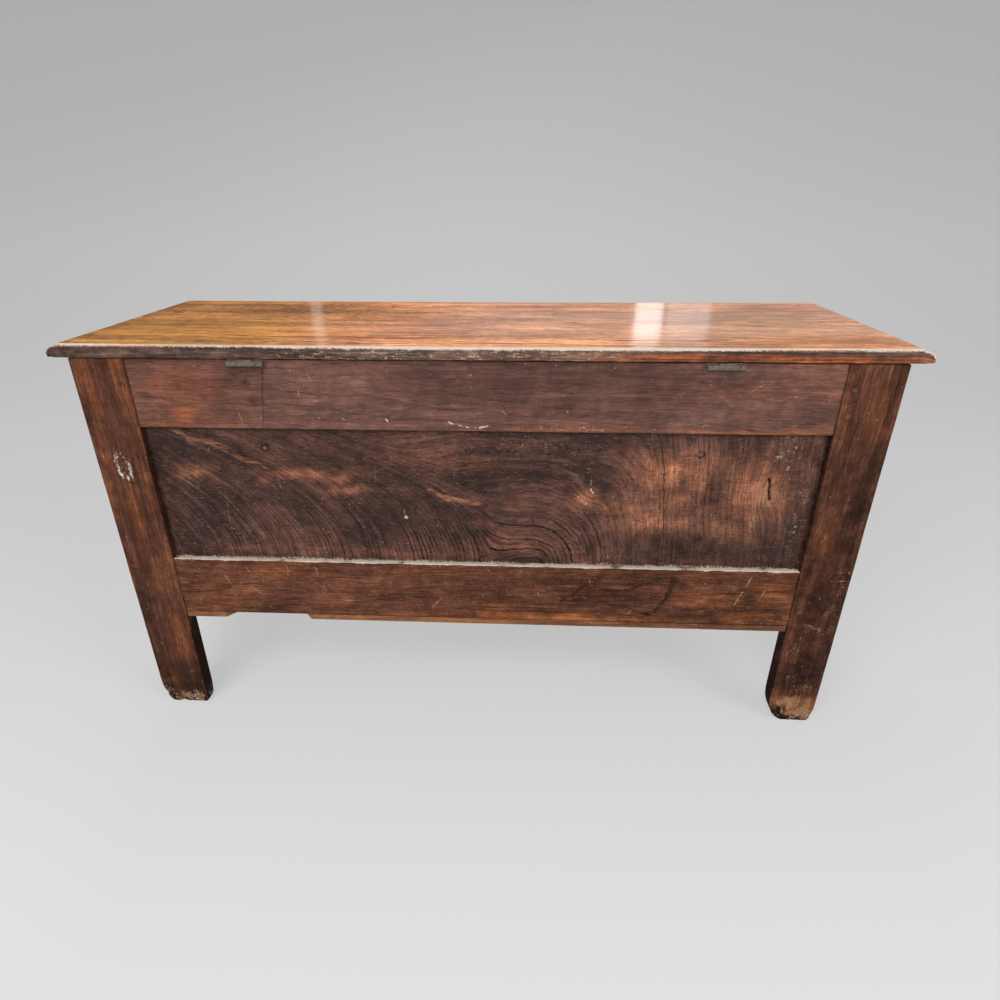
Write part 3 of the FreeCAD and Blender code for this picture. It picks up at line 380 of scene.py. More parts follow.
def oak(name, tones, rough, relief, shine=0.35, gloss=None, along=None, ripple=0.0, spotty=0.9,
        stain_and_shade=(33, 19, 14), bands=0.0):
    """Old oak. tones are its deep, middle, light, grain line and warm colours. With along, the grain axis of
    a carried solid, it makes its own rings. Without, it reads the fields painted on a board's points."""
    deep, mid, light, line, warm_tone = (rgb(*tone) for tone in tones)
    g = Graph(name)
    place = g.add("TexCoord").outputs["Object"]
    if along is None:
        grain = g.attribute("grain", "Vector")
        ring, warm, dark, bare, dust, opened = (g.attribute(f) for f in Board.FIELDS)
    else:
        parts = g.add("SeparateXYZ", {0: place}).outputs
        turned = g.add("CombineXYZ", {i: parts[(along + i) % 3] for i in range(3)}).outputs[0]
        seed = g.add("Attribute", attribute_type="OBJECT", attribute_name="board_seed").outputs["Fac"]
        shift = g.add("CombineXYZ", {0: g.times(seed, 1.37), 1: g.times(seed, 0.043), 2: seed})
        grain = g.vector("ADD", turned, shift.outputs[0])
        flat = g.vector("MULTIPLY", turned, (0.04, 1.0, 1.0))
        away = g.add("VectorMath", {0: flat, 1: (0.0, 0.06, -0.10)}, operation="DISTANCE").outputs["Value"]
        wander = g.noise(grain, (2.5, 12), 3.0)
        ring = g.math("DIVIDE", g.times_plus(wander, 0.03, away), RING)
        patch = g.noise(grain, (4, 14), 3.0)
        warm = g.spread(patch, 0.5, 0.75, 0.0, 0.5)
        dark = g.spread(patch, 0.5, 0.28, 0.0, 0.5)
        number = g.math("FLOOR", g.math("ADD", ring, 0.5))
        chance = g.add("TexWhiteNoise", {"W": number}, noise_dimensions="1D").outputs["Value"]
        opened = g.times(g.math("POWER", chance, 2.0), 0.5)
        bare, dust = 0.0, 0.0
    streak = g.noise(grain, (6, 95), 3.0, 0.6)
    strand = g.noise(grain, (13, 230), 3.0, 0.65)
    fibre = g.noise(grain, (34, 640), 4.0, 0.72)
    pores = g.noise(grain, (75, 1500), 1.0)
    flecks = g.noise(grain, (62, 440), 3.0, 0.7)
    broad = g.noise(grain, (3, 9), 4.0, 0.6)
    mottle = g.noise(place, 58, 6.0, 0.72)
    grit = g.noise(place, 360, 4.0, 0.75)

    wavy = g.times_plus(g.math("SUBTRACT", streak, 0.5), 0.22, ring)
    if ripple:
        jag = g.noise(place, 150, 3.0, 0.6)
        wavy = g.times_plus(g.math("SUBTRACT", jag, 0.5), 0.7, wavy)
    phase = g.math("FRACT", wavy)
    width = g.times_plus(opened, 0.24, 0.16)
    fade = g.math("POWER", g.math("SUBTRACT", 1.0, g.spread(phase, 0.0, width)), 1.5)
    early = g.math("MAXIMUM", fade, g.spread(phase, 0.94, 1.0))
    patchy = g.spread(g.noise(grain, (22, 40), 3.0, 0.7), 0.34, 0.56, 0.35, 1.25)
    grooves = g.times(early, g.times(opened, patchy), clamp=True)
    pitted = g.times(g.spread(pores, 0.55, 0.68), g.times_plus(early, 0.6, 0.35))

    colour = g.mix(g.spread(broad, 0.36, 0.64), deep, mid)
    colour = g.mix(g.spread(streak, 0.45, 0.8, 0.0, 0.5), colour, light)
    heat = g.times(warm, g.spread(streak, 0.25, 0.65, 0.5, 1.1), clamp=True)
    colour = g.mix(heat, colour, warm_tone)
    colour = g.mix(0.9, colour, g.spread(fibre, 0.25, 0.75, 0.6, 1.38), "MULTIPLY")
    colour = g.mix(0.9, colour, g.spread(strand, 0.32, 0.68, 0.8, 1.2), "MULTIPLY")
    colour = g.mix(0.9, colour, g.spread(flecks, 0.32, 0.68, 0.8, 1.22), "MULTIPLY")
    colour = g.mix(spotty, colour, g.spread(mottle, 0.3, 0.7, 0.62, 1.34), "MULTIPLY")
    if bands:
        stripe = g.noise(grain, (4.5, 30), 4.0, 0.65)
        colour = g.mix(bands, colour, g.spread(stripe, 0.34, 0.66, 0.66, 1.26), "MULTIPLY")
    blotch = g.noise(place, (17.0, 17.0, 24.0), 5.0, 0.65)
    colour = g.mix(spotty, colour, g.spread(blotch, 0.32, 0.68, 0.7, 1.28), "MULTIPLY")
    if ripple:
        waves = g.noise(place, (42.0, 42.0, 330.0), 3.0, 0.65)
        here = g.spread(g.noise(place, 24, 3.0, 0.6), 0.42, 0.62, 0.1, ripple)
        colour = g.mix(here, colour, g.spread(waves, 0.35, 0.65, 0.68, 1.28), "MULTIPLY")
        # Pale ticks are painted glints on fine cracks; dark ticks are the cracks themselves.
        glints_and_cracks = g.noise(place, (105.0, 105.0, 430.0), 2.0, 0.6)
        colour = g.mix(g.spread(glints_and_cracks, 0.6, 0.72, 0.0, 0.7), colour, light)
        colour = g.mix(g.spread(glints_and_cracks, 0.38, 0.27, 0.0, 0.85), colour, line)
    colour = g.mix(grooves, colour, line)
    colour = g.mix(g.times(pitted, 0.6), colour, line)
    # The dark field darkens towards the stain colour: real stains, and painted shade in recesses and under
    # the lid.
    soot_and_shade = g.times(dark, g.spread(mottle, 0.32, 0.66, 1.15, 0.6), clamp=True)
    colour = g.mix(soot_and_shade, colour, rgb(*stain_and_shade))
    frayed = g.math("ADD", g.times(fibre, 0.7), g.times(grit, 1.3))
    broken = g.times_plus(g.math("SUBTRACT", frayed, 1.0), 1.3, bare)
    colour = g.mix(g.spread(broken, 0.35, 0.9, 0.0, 0.8), colour, g.mix(fibre, *BARE_OAK))
    flakes = g.times(g.spread(grit, 0.62, 0.76), g.spread(mottle, 0.45, 0.65, 0.08, 0.6))
    flecked = g.add("TexVoronoi", {"Vector": place, "Scale": 190.0})
    chosen = g.math("GREATER_THAN", g.add("SeparateXYZ", {0: flecked.outputs["Color"]}).outputs[0], 0.955)
    specks = g.times(chosen, g.spread(flecked.outputs["Distance"], 0.3, 0.05))
    specks = g.times(specks, g.spread(mottle, 0.42, 0.6))
    # Pale dust, and the painted highlight on the lid's rear arris, both come from the dust field.
    dusty = g.times_plus(g.math("SUBTRACT", grit, 0.5), 2.2, dust)
    pale = g.math("MAXIMUM", g.spread(dusty, 0.3, 0.85, 0.0, 0.9), g.times(specks, 0.55))
    colour = g.mix(flakes, colour, g.mix(0.45, light, FLAKE))
    colour = g.mix(pale, colour, DUST_AND_SHEEN)

    dull = g.times_plus(grooves, 0.25, g.spread(mottle, 0.3, 0.7, rough[0], rough[1]))
    dull = g.math("MAXIMUM", dull, g.times(g.math("MAXIMUM", pale, soot_and_shade), 0.95))
    height = g.times_plus(grooves, -1.2, g.times(fibre, 0.5))
    height = g.times_plus(pitted, -0.5, g.times_plus(grit, 0.35, height))
    inputs = {"Base Color": colour, "Roughness": dull, "Specular IOR Level": shine,
              "Normal": g.bump(height, relief, RELIEF_DEPTH)}
    if gloss:
        inputs["Coat Weight"] = g.spread(g.attribute("polish"), 0.0, 1.0, *gloss)
        inputs["Coat Roughness"] = 0.13
        swell = g.noise(grain, (9, 60), 2.0)
        inputs["Coat Normal"] = g.bump(g.times_plus(height, 0.15, swell), 0.12, RELIEF_DEPTH)
    return g.surface(inputs)


def iron():
    g = Graph("hinge_iron")
    place = g.add("TexCoord").outputs["Object"]
    rust = g.noise(place, 160, 4.0, 0.65)
    pits = g.noise(place, 700, 3.0, 0.6)
    colour = g.mix(g.spread(rust, 0.46, 0.7), rgb(104, 92, 86), rgb(80, 62, 52))
    colour = g.mix(g.spread(pits, 0.6, 0.75, 0.0, 0.8), colour, rgb(34, 27, 24))
    dull = g.spread(rust, 0.35, 0.65, 0.34, 0.65)
    return g.surface({"Base Color": colour, "Roughness": dull, "Metallic": 0.25,
                      "Normal": g.bump(g.times_plus(pits, -1.0, rust), 0.4, 0.0006)})


def peg_end():
    g = Graph("peg_oak")
    place = g.add("TexCoord").outputs["Object"]
    speckle = g.noise(place, 900, 3.0, 0.7)
    broad = g.noise(place, 30, 2.0)
    colour = g.mix(g.spread(broad, 0.35, 0.65), rgb(60, 40, 32), rgb(92, 64, 50))
    colour = g.mix(g.spread(speckle, 0.54, 0.78, 0.0, 0.7), colour, rgb(150, 124, 104))
    colour = g.mix(g.spread(speckle, 0.42, 0.3, 0.0, 0.8), colour, rgb(30, 22, 18))
    return g.surface({"Base Color": colour, "Roughness": g.spread(speckle, 0.3, 0.7, 0.45, 0.8),
                      "Specular IOR Level": 0.2, "Normal": g.bump(speckle, 0.5, 0.0006)})


# Greys of the paper, with painted shade: darker with height and with distance from the camera.
PAPER_GREYS_WITH_SHADE = ((0.053, 184), (0.159, 190), (0.25, 195), (0.481, 195), (0.64, 202), (0.729, 209), (0.784, 219))
EVEN_LIGHT = 0.7


def backdrop():
    """Grey paper, paler towards the camera by painted shade, that also takes some of the light and the
    chest's shadow.
    """
    g = Graph("studio_paper")
    place = g.add("SeparateXYZ", {0: g.add("NewGeometry").outputs["Position"]}).outputs
    reach = g.math("SUBTRACT", place["Y"], place["Z"])
    ramp = g.add("ValToRGB", {"Fac": g.times_plus(reach, 0.1, 0.7)})
    stops = ramp.color_ramp.elements
    for spot, grey in PAPER_GREYS_WITH_SHADE:
        stops.new(spot).color = rgb(grey, grey, grey)
    stops.remove(stops[0])
    stops.remove(stops[-1])
    path = g.add("LightPath").outputs
    mirrored = g.math("MAXIMUM", path["Is Glossy Ray"], path["Is Transmission Ray"])
    seen = g.math("MAXIMUM", path["Is Camera Ray"], mirrored)
    paper = g.add("BsdfDiffuse", {"Color": ramp.outputs["Color"], "Roughness": 0.5}).outputs[0]
    even = g.add("Emission", {"Color": ramp.outputs["Color"], "Strength": 1.0}).outputs[0]
    return g.finished(g.add("MixShader", {0: g.times(seen, EVEN_LIGHT), 1: paper, 2: even}))


BACK = oak("oak_back", ((60, 36, 27), (87, 53, 40), (114, 76, 58), (28, 17, 13), (138, 80, 46)),
           (0.4, 0.6), 0.6, shine=0.08, spotty=0.7)
RAIL = oak("oak_rail", ((74, 47, 40), (98, 65, 55), (122, 87, 75), (38, 24, 21), (150, 84, 46)),
           (0.4, 0.6), 0.55, spotty=0.55)
PANEL = oak("oak_panel", ((50, 32, 28), (80, 52, 44), (116, 80, 68), (14, 9, 8), (172, 110, 80)),
            (0.42, 0.62), 0.8, shine=0.25, ripple=0.8)
# Polished oak's golden tones, made paler than its own colour to carry part of the polish's sheen as painted
# sheen.
LID = oak("oak_lid", ((184, 108, 60), (240, 160, 108), (250, 206, 164), (108, 60, 34), (188, 130, 60)),
          (0.4, 0.55), 0.35, shine=0.0, gloss=(0.15, 0.8), spotty=0.4, stain_and_shade=(82, 46, 24), bands=0.8)
UNDERSIDE = oak("oak_lid_under", ((84, 55, 36), (118, 82, 56), (146, 108, 78), (52, 33, 23), (142, 94, 56)),
                (0.55, 0.7), 0.5, shine=0.2, spotty=0.4)
EDGE = oak("oak_lid_edge", ((62, 44, 37), (96, 73, 62), (140, 112, 97), (30, 21, 18), (164, 86, 44)),
           (0.45, 0.65), 1.0, bands=0.9)
FRONT = oak("oak_front", ((62, 36, 25), (94, 55, 37), (118, 74, 50), (34, 21, 16), (144, 84, 48)),
            (0.36, 0.5), 0.5, shine=0.4, spotty=0.45)
IRON = iron()
PEG = peg_end()


def solid_oak(name, along, tone, rough=(0.55, 0.75), relief=0.4):
    return oak(name, tone, rough, relief, shine=0.3, along=along, spotty=0.35)


RAW = ((112, 80, 54), (146, 108, 76), (172, 134, 98), (70, 47, 33), (170, 122, 78))
AGED = ((92, 58, 36), (132, 88, 58), (160, 114, 82), (46, 29, 20), (160, 100, 56))
WAXED = ((66, 38, 26), (100, 58, 38), (124, 78, 52), (36, 22, 17), (150, 86, 46))
INSIDE = [solid_oak("oak_inside_" + "xy"[axis], axis, RAW) for axis in (0, 1)]
UNDER = solid_oak("oak_under", 0, AGED, relief=0.7)
POLISHED = [solid_oak("oak_polished_" + "xy"[axis], axis, WAXED, (0.36, 0.5)) for axis in (0, 1)]


# Back of the chest: stiles, rails and panel that the photograph shows

MM = 0.001
INNER, OUTER = 0.560, 0.650
TENON = 0.006
WIDE = (0, (-INNER - TENON, INNER + TENON))
REAR_FACE = 250, 254


def round_corner(points, axes, corner, inward, size):
    """Wears a corner to a quarter ellipse. The last four each give a value for two directions."""
    sides = list(zip(axes, corner, inward, size))
    out = [1 - way * (points[:, axis] - place) / reach for axis, place, way, reach in sides]
    inside = (out[0] > 0) & (out[1] > 0)
    scale = np.maximum(*out) / np.maximum(np.hypot(*out), TINY)
    for far, (axis, place, way, reach) in zip(out, sides):
        points[inside, axis] = (place + way * reach * (1 - far * scale))[inside]


def on_back(board):
    """1 on the frame's rear face, and 0 in front of it."""
    return smooth(*REAR_FACE, board.mm(1))


FOOT_WEAR = {(1, True): ((20, 62), (9, 13)), (-1, True): ((12, 40), (36, 66))}
SLIGHT_WEAR = ((9, 24), (9, 20))
FOOT_TOP = 0.08


def stile(side, rear):
    """One leg of the frame, from floor to lid, with a foot worn by standing on damp floors."""
    name = ("rear" if rear else "front") + ("_stile_right" if side > 0 else "_stile_left")
    low, high = (np.array(v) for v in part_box(name))
    face = (1, 0) if rear else (1, 1)
    seed = 31 + 7 * side + (3 if rear else 0)
    levels = np.concatenate((lines(low[2], FOOT_TOP, 0.0015)[:-len(ARRIS)],
                             lines(FOOT_TOP, high[2] - ARRIS[-1], 0.0022 if rear else 0.003, (0.0,))[:-1],
                             high[2] - np.array(ARRIS)[::-1]))
    axes = [lines(low[0], high[0], 0.0017 if rear else 0.0025), lines(low[1], high[1], 0.004), levels]
    board = Board(low, high, 2, None, seed, plain=(face,), axes=axes)
    board.heart(0.10, 0.8 * side, 0.03)
    board.wear(0.4)
    z = board.mm(2)
    board.dark += 0.75 * smooth(130, 5, z + 35 * board.vary(0.05, seed + 1))
    rot = board.vary((0.012, 0.012, 0.02), seed + 2)
    board.bare += 0.75 * smooth(75, 15, z) * smooth(-0.3, 0.4, rot)
    board.dust += 0.42 * smooth(60, 15, z) * smooth(-0.2, 0.35, board.vary(0.005, seed + 6))
    board.lift -= 0.0016 * smooth(80, 0, z) * np.abs(rot)
    board.radius *= 1 + 2.0 * smooth(40, 0, z)
    points = board.shaped()
    outer, inner = FOOT_WEAR.get((side, rear), SLIGHT_WEAR)
    round_corner(points, (0, 2), (side * OUTER, 0), (-side, 1), np.array(outer) * MM)
    round_corner(points, (0, 2), (side * INNER, 0), (side, 1), np.array(inner) * MM)
    ragged = 0.0004 + 0.0022 * board.vary((0.016, 0.02, 1.0), seed + 4)
    if (side, rear) == (1, True):
        ragged += 0.0035 * smooth(7, 3, np.abs(board.mm(0) - 613))
    points[:, 2] += np.maximum(ragged, 0) * smooth(30, 0, z)
    return board, points, name


def rear_stile(side):
    board, points, name = stile(side, True)
    x, z = board.mm(0) * side, board.mm(2)
    front = on_back(board)
    # Painted shade on the stile's inner edge, in the recess round the panel, deeper near the floor on the
    # right stile.
    shaded_inner_side = smooth(562.5, 560.5, x)
    board.dark += shaded_inner_side * (0.5 + (0.7 if side > 0 else 0.2) * smooth(230, 150, z))
    board.warm *= 1 - shaded_inner_side
    board.bare *= 1 - 0.8 * shaded_inner_side
    across = x + 6 * board.vary(0.05, 3)
    level = z + 18 * board.vary(0.06, 6)
    if side > 0:
        board.warm += blots(across, level, (
            (627, 640, 10, 55, 0.4), (608, 421, 12, 65, 0.6), (590, 150, 13, 55, 0.5),
            (632, 545, 7, 55, 0.35), (600, 300, 14, 40, 0.35), (577, 480, 7, 70, 0.3)))
        board.dark += blots(across, level, (
            (589, 353, 7, 40, 0.5), (640, 250, 7, 90, 0.4), (612, 475, 4, 45, 0.4), (645, 600, 5, 70, 0.4),
            (640, 90, 12, 60, 0.5), (566, 120, 6, 100, 0.5), (590, 660, 40, 14, 0.35)))
        ring = np.hypot((x - 607 - 0.15 * (z - 504)) / 12, (z - 504) / 30) + 0.25 * board.vary(0.012, 7)
        flaking = smooth(-0.4, 0.2, board.vary((0.004, 0.004, 0.009), 8))
        scrape = np.exp(-((ring - 0.85) / 0.24) ** 2) * flaking * (0.6 + 0.35 * smooth(520, 480, z))
        board.dust += front * (0.85 * scrape + 0.22 * smooth(1.0, 0.6, ring))
        board.dark += front * blots(x, z, ((606, 503, 5, 16, 0.5),))
        rules = (((570, 314), (640, 313)), ((570, 280), (640, 279)))
    else:
        board.warm += blots(across, level, (
            (585, 400, 15, 55, 0.5), (620, 590, 16, 55, 0.3), (575, 250, 8, 60, 0.35)))
        board.dark += 0.38 * smooth(600, 470, level)
        board.dark += blots(across, level, (
            (628, 480, 22, 140, 0.45), (605, 230, 32, 100, 0.36), (636, 330, 14, 80, 0.4),
            (590, 560, 9, 60, 0.35), (610, 130, 44, 50, 0.5), (572, 330, 9, 90, 0.3)))
        worn = smooth(88, 52, level) * smooth(8, 26, z)
        board.dark *= 1 - 0.9 * front * worn
        board.warm += 0.45 * front * worn
        spots = (
            (600, 48, 34, 26, 0.75), (624, 252, 15, 22, 0.55), (578, 160, 8, 22, 0.5),
            (612, 216, 28, 9, 0.55), (640, 300, 8, 40, 0.5), (588, 392, 14, 8, 0.45), (585, 100, 9, 20, 0.5),
            (620, 84, 24, 20, 0.5), (640, 212, 9, 22, 0.5), (633, 35, 10, 26, 0.6))
        board.bare += front * blots(x + 14 * board.vary(0.016, 5), z + 14 * board.vary(0.016, 9), spots)
        board.dark += front * blots(x, z, ((577, 24, 16, 16, 1.2), (620, 8, 30, 7, 0.7)))
        board.lift -= front * 0.004 * blots(x, z, ((578, 20, 13, 12, 1.0),))
        rules = (
            ((572, 331), (644, 332)), ((572, 315), (644, 316)), ((564, 616), (588, 627)),
            ((590, 225), (620, 214)), ((600, 190), (630, 206)), ((630, 262), (645, 240)))
    board.bare += front * scratches(board, x, z, rules, 1.2, 0.6)
    board.make(name + "_worn", BACK, "carcase", "frame_oak", name, points=points)


def tuck(board):
    """Sinks a rail's ends under the face of the stiles that hold its tenons."""
    board.lift -= 0.003 * smooth(INNER - 0.0008, INNER + 0.002, np.abs(board.rest[:, 0]))
    board.dark += 0.7 * smooth(INNER - 0.004, INNER, np.abs(board.rest[:, 0]))


def rear_rail(name, steps, seed, heart, worn, patchy):
    """A rail of the back, with its places across and up in millimetres, and its rear face."""
    low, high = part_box(name)
    low.x, high.x = WIDE[1]
    board = Board(low, high, 0, steps, seed, plain=((1, 0),))
    board.heart(*heart, pitch=0.006)
    board.wear(worn)
    board.warm *= patchy
    board.dark *= patchy
    return board, -board.mm(0), board.mm(2), on_back(board)


def rear_top_rail():
    name = "rear_top_rail"
    board, u, z, face = rear_rail(name, (0.0017, 0.006, 0.0015), 71, (0.16, 0.25, 0.02), 0.3, 0.5)
    a, b = u + 14 * board.vary(0.07, 4), z + 6 * board.vary(0.04, 5)
    board.warm += blots(a, b, (
        (-480, 592, 24, 20, 0.9), (-470, 625, 80, 60, 0.3), (470, 577, 130, 4, 0.7), (160, 577, 120, 4, 0.4),
        (-520, 580, 40, 5, 0.4)))
    # The last blot, a band along the rail's top, is painted shadow under the lid's overhang; the rest is dark
    # tone.
    board.dark += blots(a, b, (
        (-368, 647, 8, 9, 0.8), (-361, 617, 9, 6, 0.85), (-360, 665, 36, 10, 0.4), (374, 655, 38, 8, 0.5),
        (380, 622, 30, 7, 0.4), (0, 681, 560, 5, 0.5)))
    rule = stroke(u + 2 * board.vary(0.03, 6), z, ((-336, 683), (-345, 630), (-352, 573)), 1.3)
    board.dark += 0.7 * face * rule
    board.lift -= 0.0006 * face * rule
    graze = (((-48, 589), (-35, 584), (-16, 580), (2, 579), (18, 582)), ((-150, 593), (-147, 587)))
    board.dust += face * scratches(board, u, z, graze, 1.1, 1.15)
    fringe = blots(a, b, (
        (150, 580, 160, 6, 0.5), (-240, 586, 60, 10, 0.4), (-60, 600, 40, 14, 0.3), (330, 590, 60, 8, 0.3)))
    board.dust += face * fringe * smooth(0.05, 0.5, board.vary(0.006, 7))
    marks = (
        ((-315, 638), (-309, 631), (-284, 629)), ((479, 580), (515, 597)), ((-270, 660), (-263, 655)),
        ((-390, 606), (-386, 580)), ((40, 607), (46, 601)), ((310, 585), (330, 582)),
        ((-286, 634), (-284, 615)), ((-220, 592), (-216, 588)), ((60, 600), (66, 597)),
        ((420, 640), (440, 652)), ((130, 577), (240, 583)))
    board.bare += face * scratches(board, u, z, marks, 1.3, 0.85)
    tuck(board)
    board.make(name + "_worn", RAIL, "carcase", "frame_oak", name)


def rear_bottom_rail():
    name = "rear_bottom_rail"
    board, u, z, face = rear_rail(name, (0.0017, 0.003, 0.0015), 83, (0.13, -0.3, 0.03), 0.4, 0.7)
    foot = board.low[2] * 1000
    a, b = u + 14 * board.vary(0.06, 14), z + 5 * board.vary(0.04, 15)
    board.warm += blots(a, b, (
        (165, 224, 170, 8, 0.8), (-380, 312, 60, 14, 0.5), (30, 240, 26, 9, 0.5), (480, 240, 60, 12, 0.5),
        (-480, 260, 60, 26, 0.3), (520, 300, 30, 20, 0.4)))
    board.dark += blots(a, b, (
        (480, 271, 18, 16, 0.8), (36, 271, 10, 16, 0.7), (-120, 262, 60, 14, 0.3),
        (-330, 232, 120, 10, 0.35), (250, 310, 90, 9, 0.4)))
    board.warm += 0.05
    board.bare += 0.28 * face
    stains = (
        (((146, 259), (170, 280), (193, 296)), 2.4), (((148, 262), (191, 263), (250, 256), (306, 236)), 2.4),
        (((193, 292), (252, 285), (308, 301)), 2.4), (((308, 238), (323, 248), (338, 280), (345, 312)), 5.0))
    for path, width in stains:
        fuzzy = stroke(u + 3 * board.vary(0.015, 17), z + 3 * board.vary(0.015, 18), path, width)
        broken = smooth(-0.5, 0.3, board.vary((0.006, 0.006, 0.003), 21))
        board.dark += face * fuzzy * (0.35 + 0.45 * broken)
        board.bare -= 0.3 * face * fuzzy
    marks = (
        ((458, 262), (480, 320)), ((261, 224), (276, 246)), ((-429, 317), (-414, 296)),
        ((500, 270), (512, 310)), ((-427, 279), (-412, 266), (-402, 259)), ((-250, 250), (-220, 252)),
        ((-300, 320), (-285, 270)), ((-470, 300), (-455, 265)), ((-350, 320), (-352, 290)),
        ((195, 318), (198, 300)), ((-90, 240), (-70, 262)))
    board.bare += face * scratches(board, u, z, marks, 1.2, 0.65)
    settle = smooth(329.0, 331, z + 1.6 * board.vary((0.02, 0.02, 0.01), 16))
    board.dust += 0.9 * settle * smooth(238, 246, board.mm(1))
    # Painted shadow line along the rail's lower edge, above the bottom boards.
    board.dark += 0.9 * face * smooth(foot + 3.5, foot + 0.5, z)
    flecks = smooth(0.3, 0.6, board.vary(0.008, 19)) * smooth(0, 0.5, board.vary(0.1, 20))
    board.dust += 0.35 * face * flecks
    tuck(board)
    board.make(name + "_worn", BACK, "carcase", "frame_oak", name)


ARCH = 95.0
NAILS = ((-360, 537), (362, 536))
PANEL_HALF, PANEL_FOOT, PANEL_HEAD = 560, 331, 573


def panel_field(u, h):
    """Growth lines of the back panel: arches over its foot that open to upright lines on one side and,
    on the other, to lines that lean over until they run level. u and h in millimetres."""
    squash = 0.85 - 0.45 * smooth(150, 330, u)
    arch = np.hypot(np.where(u < ARCH, 0.35, 1.0) * (u - ARCH), squash * (h + 6))
    level = np.interp(u, (-560, -330, -100, 60), (245, 215, 150, 118))
    bend = (h - level) / 12
    lean = u + 20 + 0.0042 * np.maximum(h, 0) ** 2 + 36 * np.logaddexp(0, np.minimum(bend, 50))
    both = -14 * np.logaddexp(-arch / 14, -lean / 14)
    knot = np.exp(-((u - 480) / 30) ** 2 - ((h - 138) / 42) ** 2)
    small = np.exp(-((u - 186) / 18) ** 2 - ((h - 138) / 20) ** 2)
    return both + 16 * knot + 14 * small


